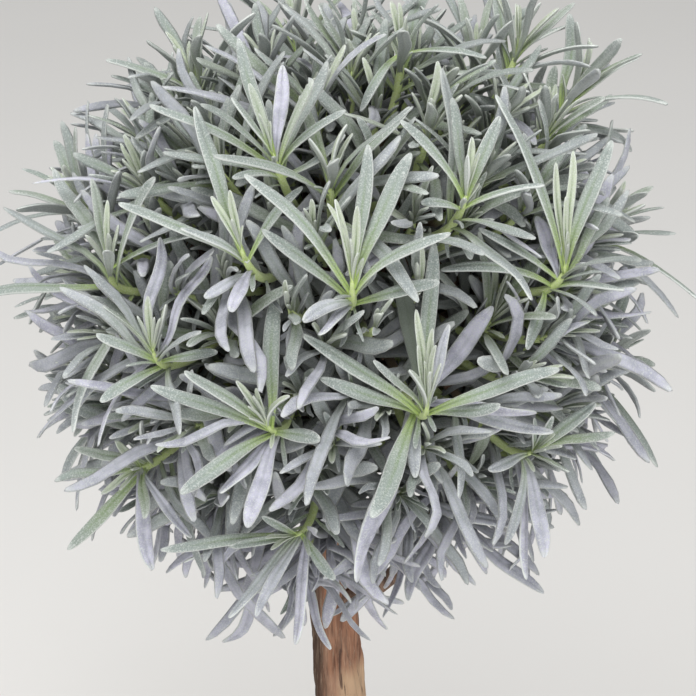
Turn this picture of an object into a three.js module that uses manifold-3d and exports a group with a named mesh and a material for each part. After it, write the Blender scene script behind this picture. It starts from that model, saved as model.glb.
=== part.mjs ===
// A potted English lavender grown as a standard: a ball of grey, leafy shoots on one bare woody
// trunk, in a plain clay pot. Millimetres, +Z up, with the origin at the centre of the pot's base.
import * as THREE from 'three';
import { mergeVertices } from 'three/addons/utils/BufferGeometryUtils.js';
import Module from 'manifold-3d';

const wasm = await Module();
wasm.setup();

const vec = (x, y, z) => new THREE.Vector3(x, y, z);
const degrees = THREE.MathUtils.degToRad;
const { lerp, smoothstep } = THREE.MathUtils;
const UP = vec(0, 0, 1);
const GOLDEN_TURN = Math.PI * (3 - Math.sqrt(5));

// What separates two touching pieces
const GAP = 0.3;

// Pot and soil
const POT_HEIGHT = 135;
const RIM_RADIUS = 75;
const RIM_BAND = 30;
const RIM_PROUD = 4.5;
const BASE_RADIUS = 50;
const POT_WALL = 7;
const POT_FLOOR = 9;
const POT_ROUNDING = 2;
const POT_SIDES = 28;
const DRAIN_HOLES = 3;
const DRAIN_RADIUS = 5;
const DRAIN_CIRCLE = 27;
const SOIL_TOP = 117;
const SOIL_BUMP = 1.6;
const SOIL_RINGS = [0.8, 0.55, 0.3];
const TRUNK_HOLE_GAP = 1;

// Trunk: its foot and leader, and how it swings to each side of the pot's axis as it rises
const TRUNK_FOOT = 58;
const TRUNK_TOP = 374;
const TRUNK_RADIUS = 10;
const LEADER_RADIUS = 4;
const SWAY_RISE = 45;
const SWAY_ACROSS = { by: -3.2, crosses: 233, length: 140 };
const SWAY_ALONG = { by: 1.9, crosses: 180, length: 120 };
const TRUNK_RIDGES = 3;
const RIDGE_HEIGHT = 0.05;

// Head: its shoots are laid out from the ball's own centre
const HEAD_HEIGHT = 400;
const HEAD_CENTRE = vec(0, 0, HEAD_HEIGHT);
const ROSETTE_RADIUS = 88;
const STEM_FOOT_SHARE = 0.59;
const STEM_BEND = 0.45;
const STEM_THICK = 1.7;
const STEM_THIN = 1.4;

// Limbs fork from the trunk between two heights and point from steeply up to down. Each ends where
// its twigs part. One more limb leaves the trunk low down, for a shoot that hangs below the head.
const LIMB_COUNT = 9;
const LIMB_REACH = 27;
const LIMB_STEEPEST = 0.95;
const LIMB_LOWEST = -0.65;
const FORKS_FROM = 332;
const FORKS_TO = 372;
const LIMB_SAG = 4;
const LIMB_FOOT_RADIUS = 4.2;
const LIMB_END_RADIUS = 3.3;
const TWIG_FORK = 0.85;
const TWIG_BEND = 9;
const TWIG_FOOT_RADIUS = 2.6;
const TWIG_RADIUS = 2.1;
const LOW_LIMB = { forksAt: 274, bend: vec(20, -20, -106), endBend: 16, footRadius: 3.4 };

// Leaves: linear, widest past the middle, keeled below by the midrib
const LEAF_STATIONS = [0.5, 0.9];
const KEEL_DEPTH = 1.05;
const ROOT_SHARE = 0.36;
const WIDEST_AT = 0.62;
const BLUNT_FROM = 0.7;
const BLUNTNESS = 2.4;
const TOP_LEAF_DROP = 1.2;
const PAIR_STEP = 0.08;
const ROOT_SUNK = 0.9;
const COLLAR = 4;
const COLLAR_KEEL = 1.5;

// The photograph's view, which places the front shoots: 30 degrees down on the head, from 632 mm
const VIEW_DOWN = degrees(30);
const VIEW_DISTANCE = 632;
const VIEW_FOCAL_PX = 1933;
const HEAD_CENTRE_PX = [340, 300];
const RIGHT = vec(1, 0, 0);
const VIEW_UP = vec(0, Math.sin(VIEW_DOWN), Math.cos(VIEW_DOWN));
const TOWARD = vec(0, -Math.cos(VIEW_DOWN), Math.sin(VIEW_DOWN));

// A number from 0 to 1 that is always the same for the same whole number
function chance(n) {
  const s = Math.sin(n * 12.9898 + 4.1) * 43758.5453;
  return s - Math.floor(s);
}

// From the view's own directions, in millimetres, to the part's axes
function fromView(right, up, toward) {
  return RIGHT.clone().multiplyScalar(right).addScaledVector(VIEW_UP, up).addScaledVector(TOWARD, toward);
}

// The point that the photograph shows at a pixel, so many millimetres before the head's centre
function shownAt(across, down, toward) {
  const scale = (VIEW_DISTANCE - toward) / VIEW_FOCAL_PX;
  return fromView((across - HEAD_CENTRE_PX[0]) * scale, (HEAD_CENTRE_PX[1] - down) * scale, toward);
}

// The point that the photograph shows at a pixel, so far from the head's centre
function rosetteAt([across, down], reach) {
  const ray = fromView(across - HEAD_CENTRE_PX[0], HEAD_CENTRE_PX[1] - down, -VIEW_FOCAL_PX).normalize();
  const eye = TOWARD.clone().multiplyScalar(VIEW_DISTANCE);
  const nearest = -eye.dot(ray);
  const miss = eye.clone().addScaledVector(ray, nearest).length();
  const half = Math.sqrt(Math.max(0, reach ** 2 - miss ** 2));
  return eye.addScaledVector(ray, nearest - half).setLength(reach);
}

// Front shoots: where the photograph shows the growing tip, in pixels, and which way the shoot
// points in the view (right, up, toward the viewer). Leaves that it shows clearly follow, from the
// topmost pair down: the tip's pixel, how many mm it is nearer than its root, how many degrees the
// leaf bows and its width. The rule below adds the pairs from the one named on. A few shoots grow
// deeper in the head or stand further out of it than the rest.
const FRONT_SHOOTS = [
  {
    at: [427, 402],
    lean: [-0.05, 0.8, 0.6],
    leaves: [
      [416, 309, 6, 8, 2.6],
      [424, 328, 10, -10, 2.4],
      [409, 370, 12, 34, 2.8],
      [449, 324, 2, 10, 3.4],
      [434, 241, -3, 10, 4.9],
      [396, 250, -8, 12, 5.6],
      [302, 334, 6, 32, 5],
      [560, 369, 6, 38, 4.7],
      [320, 378, 12, 26, 4.4],
      [494, 392, 14, -46, 4],
      [371, 518, 20, 30, 6],
      [493, 306, -12, 10, 6],
      [537, 413, 3, 16, 4.6],
      [357, 583, 3, 16, 5.8],
      [554, 432, 5, -44, 4.6],
      [415, 478, 14, 24, 4.4],
    ],
    ruled: 5,
  },
  {
    at: [352, 278],
    lean: [-0.04, 0.88, 0.47],
    leaves: [
      [335, 199, 7, 12, 2.6],
      [352, 205, 8, -10, 2.6],
      [368, 144, -2, 10, 4.6],
      [395, 148, -6, 12, 5.4],
      [244, 174, 6, 46, 4.6],
      [451, 233, 8, 62, 4],
      [262, 229, 0, 28, 4.4],
      [303, 322, 12, 60, 4.4],
      [440, 282, 3, 30, 4.2],
      [318, 335, 12, 54, 3.6],
    ],
    ruled: 5,
  },
  {
    at: [266, 424],
    lean: [-0.36, 0.58, 0.72],
    leaves: [
      [236, 381, 12, 8, 2.4],
      [290, 396, 11, 60, 2.8],
      [276, 292, -6, 10, 5.2],
      [184, 371, 10, 22, 4.2],
      [150, 386, 6, 22, 4.2],
      [320, 440, 12, 30, 4.4],
      [180, 494, 14, 36, 5],
      [247, 528, 8, 24, 5.8],
      [227, 500, 10, 24, 4.4],
      [230, 472, 13, 22, 3.8],
    ],
    ruled: 5,
  },
  {
    at: [566, 262],
    lean: [0.02, 0.93, 0.36],
    leaves: [
      [573, 150, 4, 10, 2.8],
      [556, 162, 6, -20, 2.6],
      [505, 90, 4, 28, 5.6],
      [612, 140, 4, 30, 5.2],
      [536, 216, -5, 10, 5],
      [478, 228, 2, 26, 4],
      [440, 270, 8, 64, 4.6],
      [625, 290, 8, 44, 4.8],
      [527, 350, 12, 26, 4.6],
    ],
    ruled: 5,
  },
  {
    at: [240, 246],
    lean: [-0.26, 0.86, 0.44],
    leaves: [
      [211, 196, 4, 8, 2.6],
      [228, 190, 6, -10, 2.4],
      [195, 106, -2, 16, 4.8],
      [188, 161, 5, 22, 3.8],
      [118, 203, 4, 26, 4.2],
      [312, 192, -2, 44, 3.4],
      [180, 228, 10, 54, 3.4],
      [231, 312, 12, 44, 4.6],
      [210, 302, 13, 40, 3.8],
    ],
    ruled: 5,
  },
  {
    at: [152, 348],
    lean: [-0.1, 0.8, 0.58],
    leaves: [
      [148, 296, 8, 10, 2.6],
      [166, 304, 8, -10, 2.6],
      [160, 237, 2, 12, 4.2],
      [212, 256, 4, 22, 4.2],
      [96, 334, 6, 30, 4.2],
      [218, 352, 2, 30, 3.6],
      [100, 402, 8, 36, 4.4],
    ],
    ruled: 4,
  },
  {
    at: [272, 152],
    lean: [-0.28, 0.86, 0.42],
    leaves: [
      [249, 83, 4, 8, 3],
      [233, 94, 7, 14, 3.6],
      [238, 38, -2, 12, 4.2],
      [283, 65, -6, 8, 4.6],
      [146, 110, 4, 28, 4],
      [346, 110, 4, 52, 3.4],
      [232, 178, 10, 50, 3.2],
      [345, 134, -2, -24, 3.6],
    ],
    ruled: 5,
  },
  {
    at: [467, 192],
    lean: [0.16, 0.88, 0.45],
    leaves: [
      [472, 137, 5, 8, 2.8],
      [468, 155, 8, -10, 2.4],
      [500, 116, -2, 12, 4.2],
      [400, 120, 2, 42, 4.2],
      [545, 185, 4, 44, 3.6],
      [421, 203, 10, 44, 3.6],
    ],
    ruled: 3,
  },
  {
    at: [295, 536],
    lean: [-0.55, -0.12, 0.82],
    leaves: [
      [230, 547, 8, 8, 2.8],
      [262, 516, 10, 16, 2.8],
      [160, 550, 4, 22, 3.8],
      [335, 580, 6, 22, 3.8],
      [228, 618, 5, 22, 4.2],
      [248, 612, 9, 18, 3.8],
      [295, 645, 2, 14, 4.8],
    ],
    ruled: 5,
  },
  {
    at: [535, 452],
    lean: [0.5, 0.3, 0.8],
    leaves: [
      [553, 416, 8, 10, 2.8],
      [534, 418, 9, 10, 2.4],
      [596, 402, 2, 22, 4.4],
      [488, 470, 8, 44, 3.8],
      [544, 558, 8, 36, 5.4],
      [505, 545, 4, 64, 3.6],
      [527, 580, 1, 30, 4.8],
    ],
    ruled: 5,
  },
  { at: [110, 266], lean: [0.2, 0.8, 0.56], leaves: [[213, 231, 8, 36, 3.8]], ruled: 1 },
  {
    at: [138, 468],
    lean: [-0.3, 0.12, 0.95],
    leaves: [
      [153, 570, 6, 30, 5.2],
      [192, 538, 6, 24, 3.4],
    ],
    ruled: 1,
  },
  {
    at: [402, 50],
    lean: [0.02, 0.92, 0.4],
    leaves: [
      [360, 112, 10, 64, 4.2],
      [487, 58, 2, 40, 3.6],
    ],
    ruled: 2,
  },
  { at: [484, 48], lean: [0.05, 0.88, 0.47] },
  { at: [192, 78], lean: [-0.16, 0.9, 0.4] },
  { at: [548, 130], lean: [0.15, 0.92, 0.36] },
  { at: [398, 505], reach: 72, lean: [0.1, 0, 0.98] },
  { at: [458, 535], reach: 76, lean: [0.3, -0.25, 0.9], foot: [31, -36, -60] },
  { at: [330, 178], reach: 80, lean: [-0.02, 0.9, 0.43] },
  { at: [492, 318], reach: 68, lean: [0.22, 0.85, 0.48] },
  { at: [222, 330], reach: 66, lean: [-0.2, 0.7, 0.6] },
  { at: [520, 44], reach: 100, lean: [0.2, 0.95, 0.2] },
  { at: [590, 80], reach: 102, lean: [0.45, 0.85, 0.2] },
];

// The other shoots follow a golden spiral round the ball, clear of the front ones and the trunk
const SPIRAL_SHOOTS = 56;
const LOWEST_SHOOT = -0.86;
const SHOOT_SPACING = 38;
const SKYWARD = 0.75;

// A leafy shoot's pairs from the top down: where on the stem, length, angle to the stem, bow and
// width. The lowest pair has one leaf left.
const LEAF_PAIRS = [
  { place: 1, length: 17, spread: 17, bow: 24, width: 2.4 },
  { place: 0.9, length: 27, spread: 34, bow: 26, width: 3.6 },
  { place: 0.79, length: 39, spread: 52, bow: 32, width: 4.6 },
  { place: 0.62, length: 42, spread: 68, bow: 40, width: 4.6 },
  { place: 0.44, length: 35, spread: 84, bow: 46, width: 4.3, lone: true },
];
// How far a leaf strays from its pair's measures, and the seed that each draws from
const STRAYS = { turn: [20, 0], length: [0.26, 31], spread: [16, 57], bow: [1, 83] };
// How much a leaf's upper side turns to the sky
const RULED_FACES_UP = 0.8;
const SHOWN_FACES_UP = 0.5;
// Turns about the stem and changes of spread, in degrees, that a leaf tries until it is clear
const TURNS = [0, 9, -9, 18, -18, 27, -27, 38, -38];
const SPREADS = [0, 10, -12];
const CLEARANCE = 0.5;
const OWN_ROOTS = 0.4;
const BEAD_STEP = 3;
const BEADS_FROM = 0.12;
const BEAD_SHARE = 0.46;

function frontShoots() {
  return FRONT_SHOOTS.map(({ at, reach = ROSETTE_RADIUS, lean, foot, ...leaves }) => ({
    tip: rosetteAt(at, reach),
    lean: fromView(...lean).normalize(),
    foot: foot && vec(...foot),
    ...leaves,
  }));
}

function spiralShoots(taken) {
  const found = [];
  for (let i = 0; i < SPIRAL_SHOOTS; i++) {
    const height = 1 - (2 * (i + 0.5)) / SPIRAL_SHOOTS;
    const around = Math.sqrt(1 - height ** 2);
    const out = vec(around * Math.cos(i * GOLDEN_TURN), around * Math.sin(i * GOLDEN_TURN), height);
    const tip = out.clone().multiplyScalar(ROSETTE_RADIUS);
    if (height < LOWEST_SHOOT || taken.some((s) => s.tip.distanceTo(tip) < SHOOT_SPACING)) continue;
    found.push({ tip, lean: out.addScaledVector(UP, SKYWARD).normalize() });
  }
  return found;
}

// A shoot's stem starts on its twig inside the head and bends in one plane to its own lean at the tip
function stemCurve({ tip, lean, foot }) {
  const start = foot || tip.clone().multiplyScalar(STEM_FOOT_SHARE);
  const reach = STEM_BEND * start.distanceTo(tip);
  return new THREE.QuadraticBezierCurve3(start, tip.clone().addScaledVector(lean, -reach), tip);
}

// Square to the stem's plane, turned about a direction by an angle
function stemSide(stem, axis, angle) {
  const square = stem.v2.clone().sub(stem.v0).cross(stem.v2.clone().sub(stem.v1)).normalize();
  return square.applyAxisAngle(axis, degrees(angle));
}

// The arc over a leaf's chord, bowed to its upper side
function leafArc({ root, chord, over, bow }) {
  const length = chord.length();
  const along = chord.clone().normalize();
  const upper = over.clone().addScaledVector(along, -over.dot(along)).normalize();
  const side = along.clone().cross(upper);
  const radius = length / (2 * Math.sin(bow / 2));
  return (t) => {
    const turn = (t - 0.5) * bow;
    const rise = radius * (Math.cos(turn) - Math.cos(bow / 2));
    const forward = length / 2 + radius * Math.sin(turn);
    const point = root.clone().addScaledVector(along, forward).addScaledVector(upper, rise);
    const face = along.clone().multiplyScalar(Math.sin(turn)).addScaledVector(upper, Math.cos(turn));
    return { point, face, side };
  };
}

// A leaf's width along its length, as a share of its widest: a narrow foot and a blunt tip
function leafTaper(t) {
  const swell = smoothstep(t, 0, WIDEST_AT);
  const blunt = Math.sqrt(Math.max(0, 1 - Math.max(0, (t - BLUNT_FROM) / (1 - BLUNT_FROM)) ** BLUNTNESS));
  return (ROOT_SHARE + (1 - ROOT_SHARE) * swell) * blunt;
}

// Where a leaf leaves its stem. The topmost leaves start a little below its end.
function leafRoot(stem, place) {
  const share = Math.min(place, 1 - TOP_LEAF_DROP / stem.getLength());
  return { root: stem.getPointAt(share), axis: stem.getTangentAt(share) };
}

function stray(seed, [by, offset]) {
  return by * (chance(seed + offset) - 0.5);
}

// The chords that a leaf of a pair may take, in the order in which they are tried. Each pair
// stands square to the one below it.
function pairLeaf({ stem, seed }, pair, side) {
  const { root, axis } = leafRoot(stem, pair.place);
  const quarter = 90 * (LEAF_PAIRS.indexOf(pair) + 2 * side + chance(seed));
  const turned = quarter + stray(seed + side, STRAYS.turn);
  const length = pair.length * (1 + stray(seed + side, STRAYS.length));
  const spread = pair.spread + stray(seed + side, STRAYS.spread);
  const bow = degrees(pair.bow * (1 + stray(seed + side, STRAYS.bow)));
  const over = axis.clone().addScaledVector(UP, RULED_FACES_UP);
  return SPREADS.flatMap((wider) =>
    TURNS.map((turn) => {
      const away = stemSide(stem, axis, turned + turn);
      const angle = degrees(spread + wider);
      const chord = axis.clone().multiplyScalar(Math.cos(angle)).addScaledVector(away, Math.sin(angle));
      return { root, chord: chord.multiplyScalar(length), over, bow, width: pair.width };
    }),
  );
}

// A leaf whose tip the photograph shows, and the small turns that it may take to be clear
function shownLeaf(stem, [across, down, nearer, bow, width], place) {
  const { root, axis } = leafRoot(stem, place);
  const chord = shownAt(across, down, root.dot(TOWARD) + nearer).sub(root);
  const over = axis.clone().addScaledVector(UP, SHOWN_FACES_UP);
  return TURNS.map((turn) => ({
    root,
    chord: chord.clone().applyAxisAngle(axis, degrees(turn / 2)),
    over,
    bow: degrees(bow),
    width,
  }));
}

// Everything placed so far, as round beads that no new leaf may touch. A leaf passes over the
// roots of its own shoot's leaves.
const beads = [];

function strew(owner, point, radius, t = 0) {
  beads.push({ owner, point, radius, t });
}

function leafBeads(leaf) {
  const arc = leafArc(leaf);
  const steps = Math.ceil(leaf.chord.length() / BEAD_STEP);
  return Array.from({ length: steps }, (_, i) => {
    const t = lerp(BEADS_FROM, 1, (i + 0.5) / steps);
    return { point: arc(t).point, radius: BEAD_SHARE * leaf.width * leafTaper(t), t };
  });
}

function isClear(owner, leaf) {
  return leafBeads(leaf).every(({ point, radius, t }) =>
    beads.every((b) => {
      if (b.owner === owner && (b.t < OWN_ROOTS || t < OWN_ROOTS)) return true;
      return b.point.distanceToSquared(point) > (radius + b.radius + CLEARANCE) ** 2;
    }),
  );
}

function settle(shoot, options) {
  const leaf = options.find((option) => isClear(shoot.seed, option));
  if (!leaf) return;
  shoot.blades.push(leaf);
  leafBeads(leaf).forEach(({ point, radius, t }) => strew(shoot.seed, point, radius, t));
}

// Rings of points, joined into one closed skin. A ring of one point closes an end to a tip.
function loft(rings) {
  const triangles = [];
  let start = 0;
  for (let i = 0; i + 1 < rings.length; i++) {
    const n = rings[i].length;
    const m = rings[i + 1].length;
    const next = start + n;
    for (let k = 0; k < Math.max(n, m); k++) {
      if (n > 1) triangles.push(start + k, start + ((k + 1) % n), next + ((k + 1) % m));
      if (m > 1) triangles.push(start + (k % n), next + ((k + 1) % m), next + k);
    }
    start = next;
  }
  for (let k = 1; k + 1 < rings[0].length; k++) triangles.push(0, k + 1, k);
  for (let k = 1; k + 1 < rings.at(-1).length; k++) triangles.push(start, start + k, start + k + 1);
  return new THREE.BufferGeometry().setFromPoints(rings.flat()).setIndex(triangles);
}

// A leaf's root closes to a point inside the stem, on the side away from the leaf
function leafGeometry(leaf) {
  const arc = leafArc(leaf);
  const collar = COLLAR / leaf.chord.length();
  const rings = [collar, ...LEAF_STATIONS].map((t) => {
    const { point, face, side } = arc(t);
    const half = (leaf.width * leafTaper(t)) / 2;
    return [
      point.clone().addScaledVector(side, half),
      point.clone().addScaledVector(face, -(t === collar ? COLLAR_KEEL : KEEL_DEPTH)),
      point.clone().addScaledVector(side, -half),
    ];
  });
  const sunk = leaf.root.clone().addScaledVector(leaf.chord, -ROOT_SUNK / leaf.chord.length());
  return loft([[sunk], ...rings, [arc(1).point]]);
}

// A ring of points round a curve, facing along it
function ringAt(point, along, across, sides, radiusAt) {
  const other = along.clone().cross(across);
  return Array.from({ length: sides }, (_, k) => {
    const angle = (2 * Math.PI * (k + 0.5)) / sides;
    const radius = radiusAt(angle);
    const out = across.clone().multiplyScalar(Math.cos(angle)).addScaledVector(other, Math.sin(angle));
    return point.clone().addScaledVector(out, radius);
  });
}

// A tapering rod along a curve, without twist. It starts from a point when it starts inside another.
function rodGeometry(curve, { steps, sides, radiusAt, end = 1, pointed = false }) {
  const rings = pointed ? [[curve.getPointAt(0)]] : [];
  const first = curve.getTangentAt(0);
  let across = first.clone().cross(Math.abs(first.z) > 0.9 ? RIGHT : UP);
  for (let i = pointed ? 1 : 0; i <= steps; i++) {
    const t = (end * i) / steps;
    const along = curve.getTangentAt(t);
    across = across.clone().addScaledVector(along, -across.dot(along)).normalize();
    rings.push(ringAt(curve.getPointAt(t), along, across, sides, (angle) => radiusAt(t, angle)));
  }
  return loft(rings);
}

function solidOf(geometry) {
  const plain = new THREE.BufferGeometry().setAttribute('position', geometry.getAttribute('position'));
  const merged = mergeVertices(plain.setIndex(geometry.index), 1e-4);
  const triVerts = new Uint32Array(merged.index.array);
  const vertProperties = merged.attributes.position.array;
  return new wasm.Manifold(new wasm.Mesh({ numProp: 3, vertProperties, triVerts }));
}

function geometryOf(solid) {
  const { vertProperties, triVerts } = solid.getMesh();
  return new THREE.BufferGeometry()
    .setAttribute('position', new THREE.BufferAttribute(vertProperties, 3))
    .setIndex(new THREE.BufferAttribute(triVerts, 1));
}

function fuse(geometries) {
  return geometryOf(geometries.map(solidOf).reduce((whole, piece) => whole.add(piece)));
}

function lathe(profile, sides) {
  return new THREE.LatheGeometry(profile.map(([r, z]) => new THREE.Vector2(r, z)), sides).rotateX(Math.PI / 2);
}

// The pot's inner radius at a height
function potBore(z) {
  const slope = (RIM_RADIUS - RIM_PROUD - BASE_RADIUS) / POT_HEIGHT;
  return BASE_RADIUS + slope * z - POT_WALL;
}

function potGeometry() {
  const band = POT_HEIGHT - RIM_BAND;
  const outside = (z) => potBore(z) + POT_WALL;
  const body = lathe(
    [
      [0, 0],
      [BASE_RADIUS - POT_ROUNDING, 0],
      [BASE_RADIUS, POT_ROUNDING],
      [outside(band), band],
      [outside(band) + RIM_PROUD, band + POT_ROUNDING],
      [RIM_RADIUS, POT_HEIGHT - POT_ROUNDING],
      [RIM_RADIUS - POT_ROUNDING, POT_HEIGHT],
      [potBore(POT_HEIGHT) + POT_ROUNDING, POT_HEIGHT],
      [potBore(POT_HEIGHT - POT_ROUNDING), POT_HEIGHT - POT_ROUNDING],
      [potBore(POT_FLOOR), POT_FLOOR],
      [0, POT_FLOOR],
    ],
    POT_SIDES,
  );
  const drains = Array.from({ length: DRAIN_HOLES }, (_, i) => {
    const angle = (2 * Math.PI * (i + 0.5)) / DRAIN_HOLES;
    return new THREE.CylinderGeometry(DRAIN_RADIUS, DRAIN_RADIUS, 4 * POT_FLOOR, 8)
      .rotateX(Math.PI / 2)
      .translate(DRAIN_CIRCLE * Math.cos(angle), DRAIN_CIRCLE * Math.sin(angle), 0);
  });
  return geometryOf(drains.map(solidOf).reduce((pot, hole) => pot.subtract(hole), solidOf(body)));
}

// The soil fills the pot to below its rim, with an uneven top and a plain hole for the trunk
function soilGeometry() {
  const wall = (z) => potBore(z) - 1.5 * GAP;
  const floor = POT_FLOOR + GAP;
  const rings = SOIL_RINGS.map((share) => [share * wall(SOIL_TOP), SOIL_TOP]);
  const side = [[0, floor], [wall(floor), floor], [wall(SOIL_TOP), SOIL_TOP]];
  const hump = lathe([...side, ...rings, [0, SOIL_TOP]], POT_SIDES / 2);
  const place = hump.getAttribute('position');
  for (let i = 0; i < place.count; i++) {
    const [x, y, z] = [place.getX(i), place.getY(i), place.getZ(i)];
    const bump = Math.sin(x * 0.19 + 1) * Math.cos(y * 0.23) + 0.6 * Math.sin(x * 0.41 - y * 0.33);
    if (z > TRUNK_FOOT) place.setZ(i, z + SOIL_BUMP * bump);
  }
  const hole = new THREE.CylinderGeometry(1, 1, SOIL_TOP, 12)
    .scale(TRUNK_RADIUS + TRUNK_HOLE_GAP, 1, TRUNK_RADIUS + TRUNK_HOLE_GAP)
    .rotateX(Math.PI / 2)
    .translate(0, 0, TRUNK_FOOT - GAP + SOIL_TOP / 2);
  return geometryOf(solidOf(hump).subtract(solidOf(hole)));
}

// The trunk sways a little on its way up from the soil, and goes on into the head as its leader
function trunkAt(z) {
  const freed = smoothstep(z, SOIL_TOP, SOIL_TOP + SWAY_RISE);
  const sway = ({ by, crosses, length }) => freed * by * Math.sin((Math.PI * (z - crosses)) / length);
  return vec(sway(SWAY_ACROSS), sway(SWAY_ALONG), z);
}

class TrunkCurve extends THREE.Curve {
  getPoint(t) {
    return trunkAt(lerp(TRUNK_FOOT, TRUNK_TOP, t));
  }
}

// Above the soil the trunk has low ridges, which wind round it a little
function trunkRadius(t, angle) {
  const height = lerp(TRUNK_FOOT, TRUNK_TOP, t);
  const ridge = RIDGE_HEIGHT * smoothstep(height, SOIL_TOP, SOIL_TOP + POT_WALL);
  const winding = TRUNK_RIDGES * (angle + TRUNK_RIDGES * t);
  return lerp(TRUNK_RADIUS, LEADER_RADIUS, t ** 3) * (1 + ridge * Math.cos(winding));
}

// Each limb leaves the trunk lower the lower it points
function limbs() {
  return Array.from({ length: LIMB_COUNT }, (_, i) => {
    const share = i / (LIMB_COUNT - 1);
    const height = lerp(LIMB_STEEPEST, LIMB_LOWEST, share);
    const around = Math.sqrt(1 - height ** 2);
    const out = vec(around * Math.cos(i * GOLDEN_TURN), around * Math.sin(i * GOLDEN_TURN), height);
    const end = out.multiplyScalar(LIMB_REACH);
    const start = trunkAt(lerp(FORKS_TO, FORKS_FROM, share)).sub(HEAD_CENTRE);
    const middle = start.clone().lerp(end, 0.5).addScaledVector(UP, -LIMB_SAG);
    return new THREE.QuadraticBezierCurve3(start, middle, end);
  });
}

function twigCurve(shoot, branches) {
  const foot = shoot.stem.getPoint(0);
  const along = shoot.stem.getTangent(0).normalize();
  if (shoot.foot) {
    const fork = trunkAt(LOW_LIMB.forksAt).sub(HEAD_CENTRE);
    const reach = foot.clone().addScaledVector(along, -LOW_LIMB.endBend);
    return new THREE.CubicBezierCurve3(fork, LOW_LIMB.bend, reach, foot);
  }
  const limb = branches.reduce((a, b) => (a.v2.distanceTo(foot) < b.v2.distanceTo(foot) ? a : b));
  const bend = foot.clone().addScaledVector(along, -TWIG_BEND);
  return new THREE.QuadraticBezierCurve3(limb.getPointAt(TWIG_FORK), bend, foot);
}

// Trunk, limbs and twigs grew as one piece of wood. A twig ends flat, just short of its shoot's foot.
function woodGeometry(shoots) {
  const branches = limbs();
  const inHead = (geometry) => geometry.translate(0, 0, HEAD_HEIGHT);
  const pieces = [rodGeometry(new TrunkCurve(), { steps: 11, sides: 9, radiusAt: trunkRadius })];
  const limbRadius = (t) => lerp(LIMB_FOOT_RADIUS, LIMB_END_RADIUS, t);
  branches.forEach((curve) => {
    pieces.push(inHead(rodGeometry(curve, { steps: 3, sides: 4, radiusAt: limbRadius, pointed: true })));
  });
  shoots.forEach((shoot) => {
    const curve = twigCurve(shoot, branches);
    const footRadius = shoot.foot ? LOW_LIMB.footRadius : TWIG_FOOT_RADIUS;
    const end = 1 - GAP / curve.getLength();
    const radiusAt = (t) => lerp(footRadius, TWIG_RADIUS, t);
    const steps = shoot.foot ? 6 : 2;
    pieces.push(inHead(rodGeometry(curve, { steps, sides: 3, radiusAt, end, pointed: true })));
    const count = Math.ceil(curve.getLength() / BEAD_STEP);
    curve.getSpacedPoints(count).forEach((point) => strew('wood', point, footRadius));
  });
  for (let z = SOIL_TOP; z <= TRUNK_TOP; z += BEAD_STEP) {
    strew('wood', trunkAt(z).sub(HEAD_CENTRE), TRUNK_RADIUS);
  }
  return fuse(pieces);
}

// The leaves that the photograph shows come first, and then a pair at a time on every shoot
function growLeaves(shoots) {
  shoots.forEach(({ leaves = [], ...shoot }) =>
    leaves.forEach((leaf, i) => settle(shoot, shownLeaf(shoot.stem, leaf, 1 - PAIR_STEP * Math.floor(i / 2)))),
  );
  LEAF_PAIRS.forEach((pair, i) =>
    (pair.lone ? [0] : [0, 1]).forEach((side) =>
      shoots
        .filter(({ ruled = 0 }) => i >= ruled)
        .forEach((shoot) => settle(shoot, pairLeaf(shoot, pair, side))),
    ),
  );
}

// The stem is square, as the leaf pairs are: each leaf grows out of the middle of a side
function shootGeometry({ stem, seed, blades }) {
  const rings = [0, 0.35, 0.7, 1].map((t) => {
    const along = stem.getTangentAt(t);
    const radius = lerp(STEM_THICK, STEM_THIN, t);
    return ringAt(stem.getPointAt(t), along, stemSide(stem, along, 90 * chance(seed)), 4, () => radius);
  });
  return fuse([loft(rings), ...blades.map(leafGeometry)]);
}

function paint(color, roughness) {
  return new THREE.MeshStandardMaterial({ color, roughness, metalness: 0 });
}

const clay = paint(0xb5694a, 0.85);
const compost = paint(0x3a2a20, 0.95);
const bark = paint(0x7c5b45, 0.9);
const foliage = paint(0xa3ae9f, 0.8);

function add(parent, name, geometry, material) {
  const mesh = new THREE.Mesh(geometry, material);
  mesh.name = name;
  parent.add(mesh);
}

const front = frontShoots();
const shoots = [...front, ...spiralShoots(front)];
shoots.forEach((shoot, i) => Object.assign(shoot, { stem: stemCurve(shoot), seed: 100 * (i + 1), blades: [] }));
shoots.forEach(({ stem, seed }) => {
  const count = Math.ceil(stem.getLength() / BEAD_STEP);
  stem.getSpacedPoints(count).forEach((point) => strew(seed, point, STEM_THICK));
});

const lavender = new THREE.Group();
add(lavender, 'pot', potGeometry(), clay);
add(lavender, 'potting_soil', soilGeometry(), compost);
add(lavender, 'trunk_and_branches', woodGeometry(shoots), bark);
growLeaves(shoots);
const head = new THREE.Group();
head.position.z = HEAD_HEIGHT;
lavender.add(head);
shoots.forEach((shoot, i) => {
  const number = String(i + 1).padStart(2, '0');
  add(head, `leafy_shoot_${number}`, shootGeometry(shoot), foliage);
});

export default lavender;
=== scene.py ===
# The potted English lavender standard of the photograph: a ball of grey leafy shoots on a bare
# woody trunk, in a plain clay pot. Sizes are in millimetres until a mesh is made, which is in metres.
import math

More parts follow.
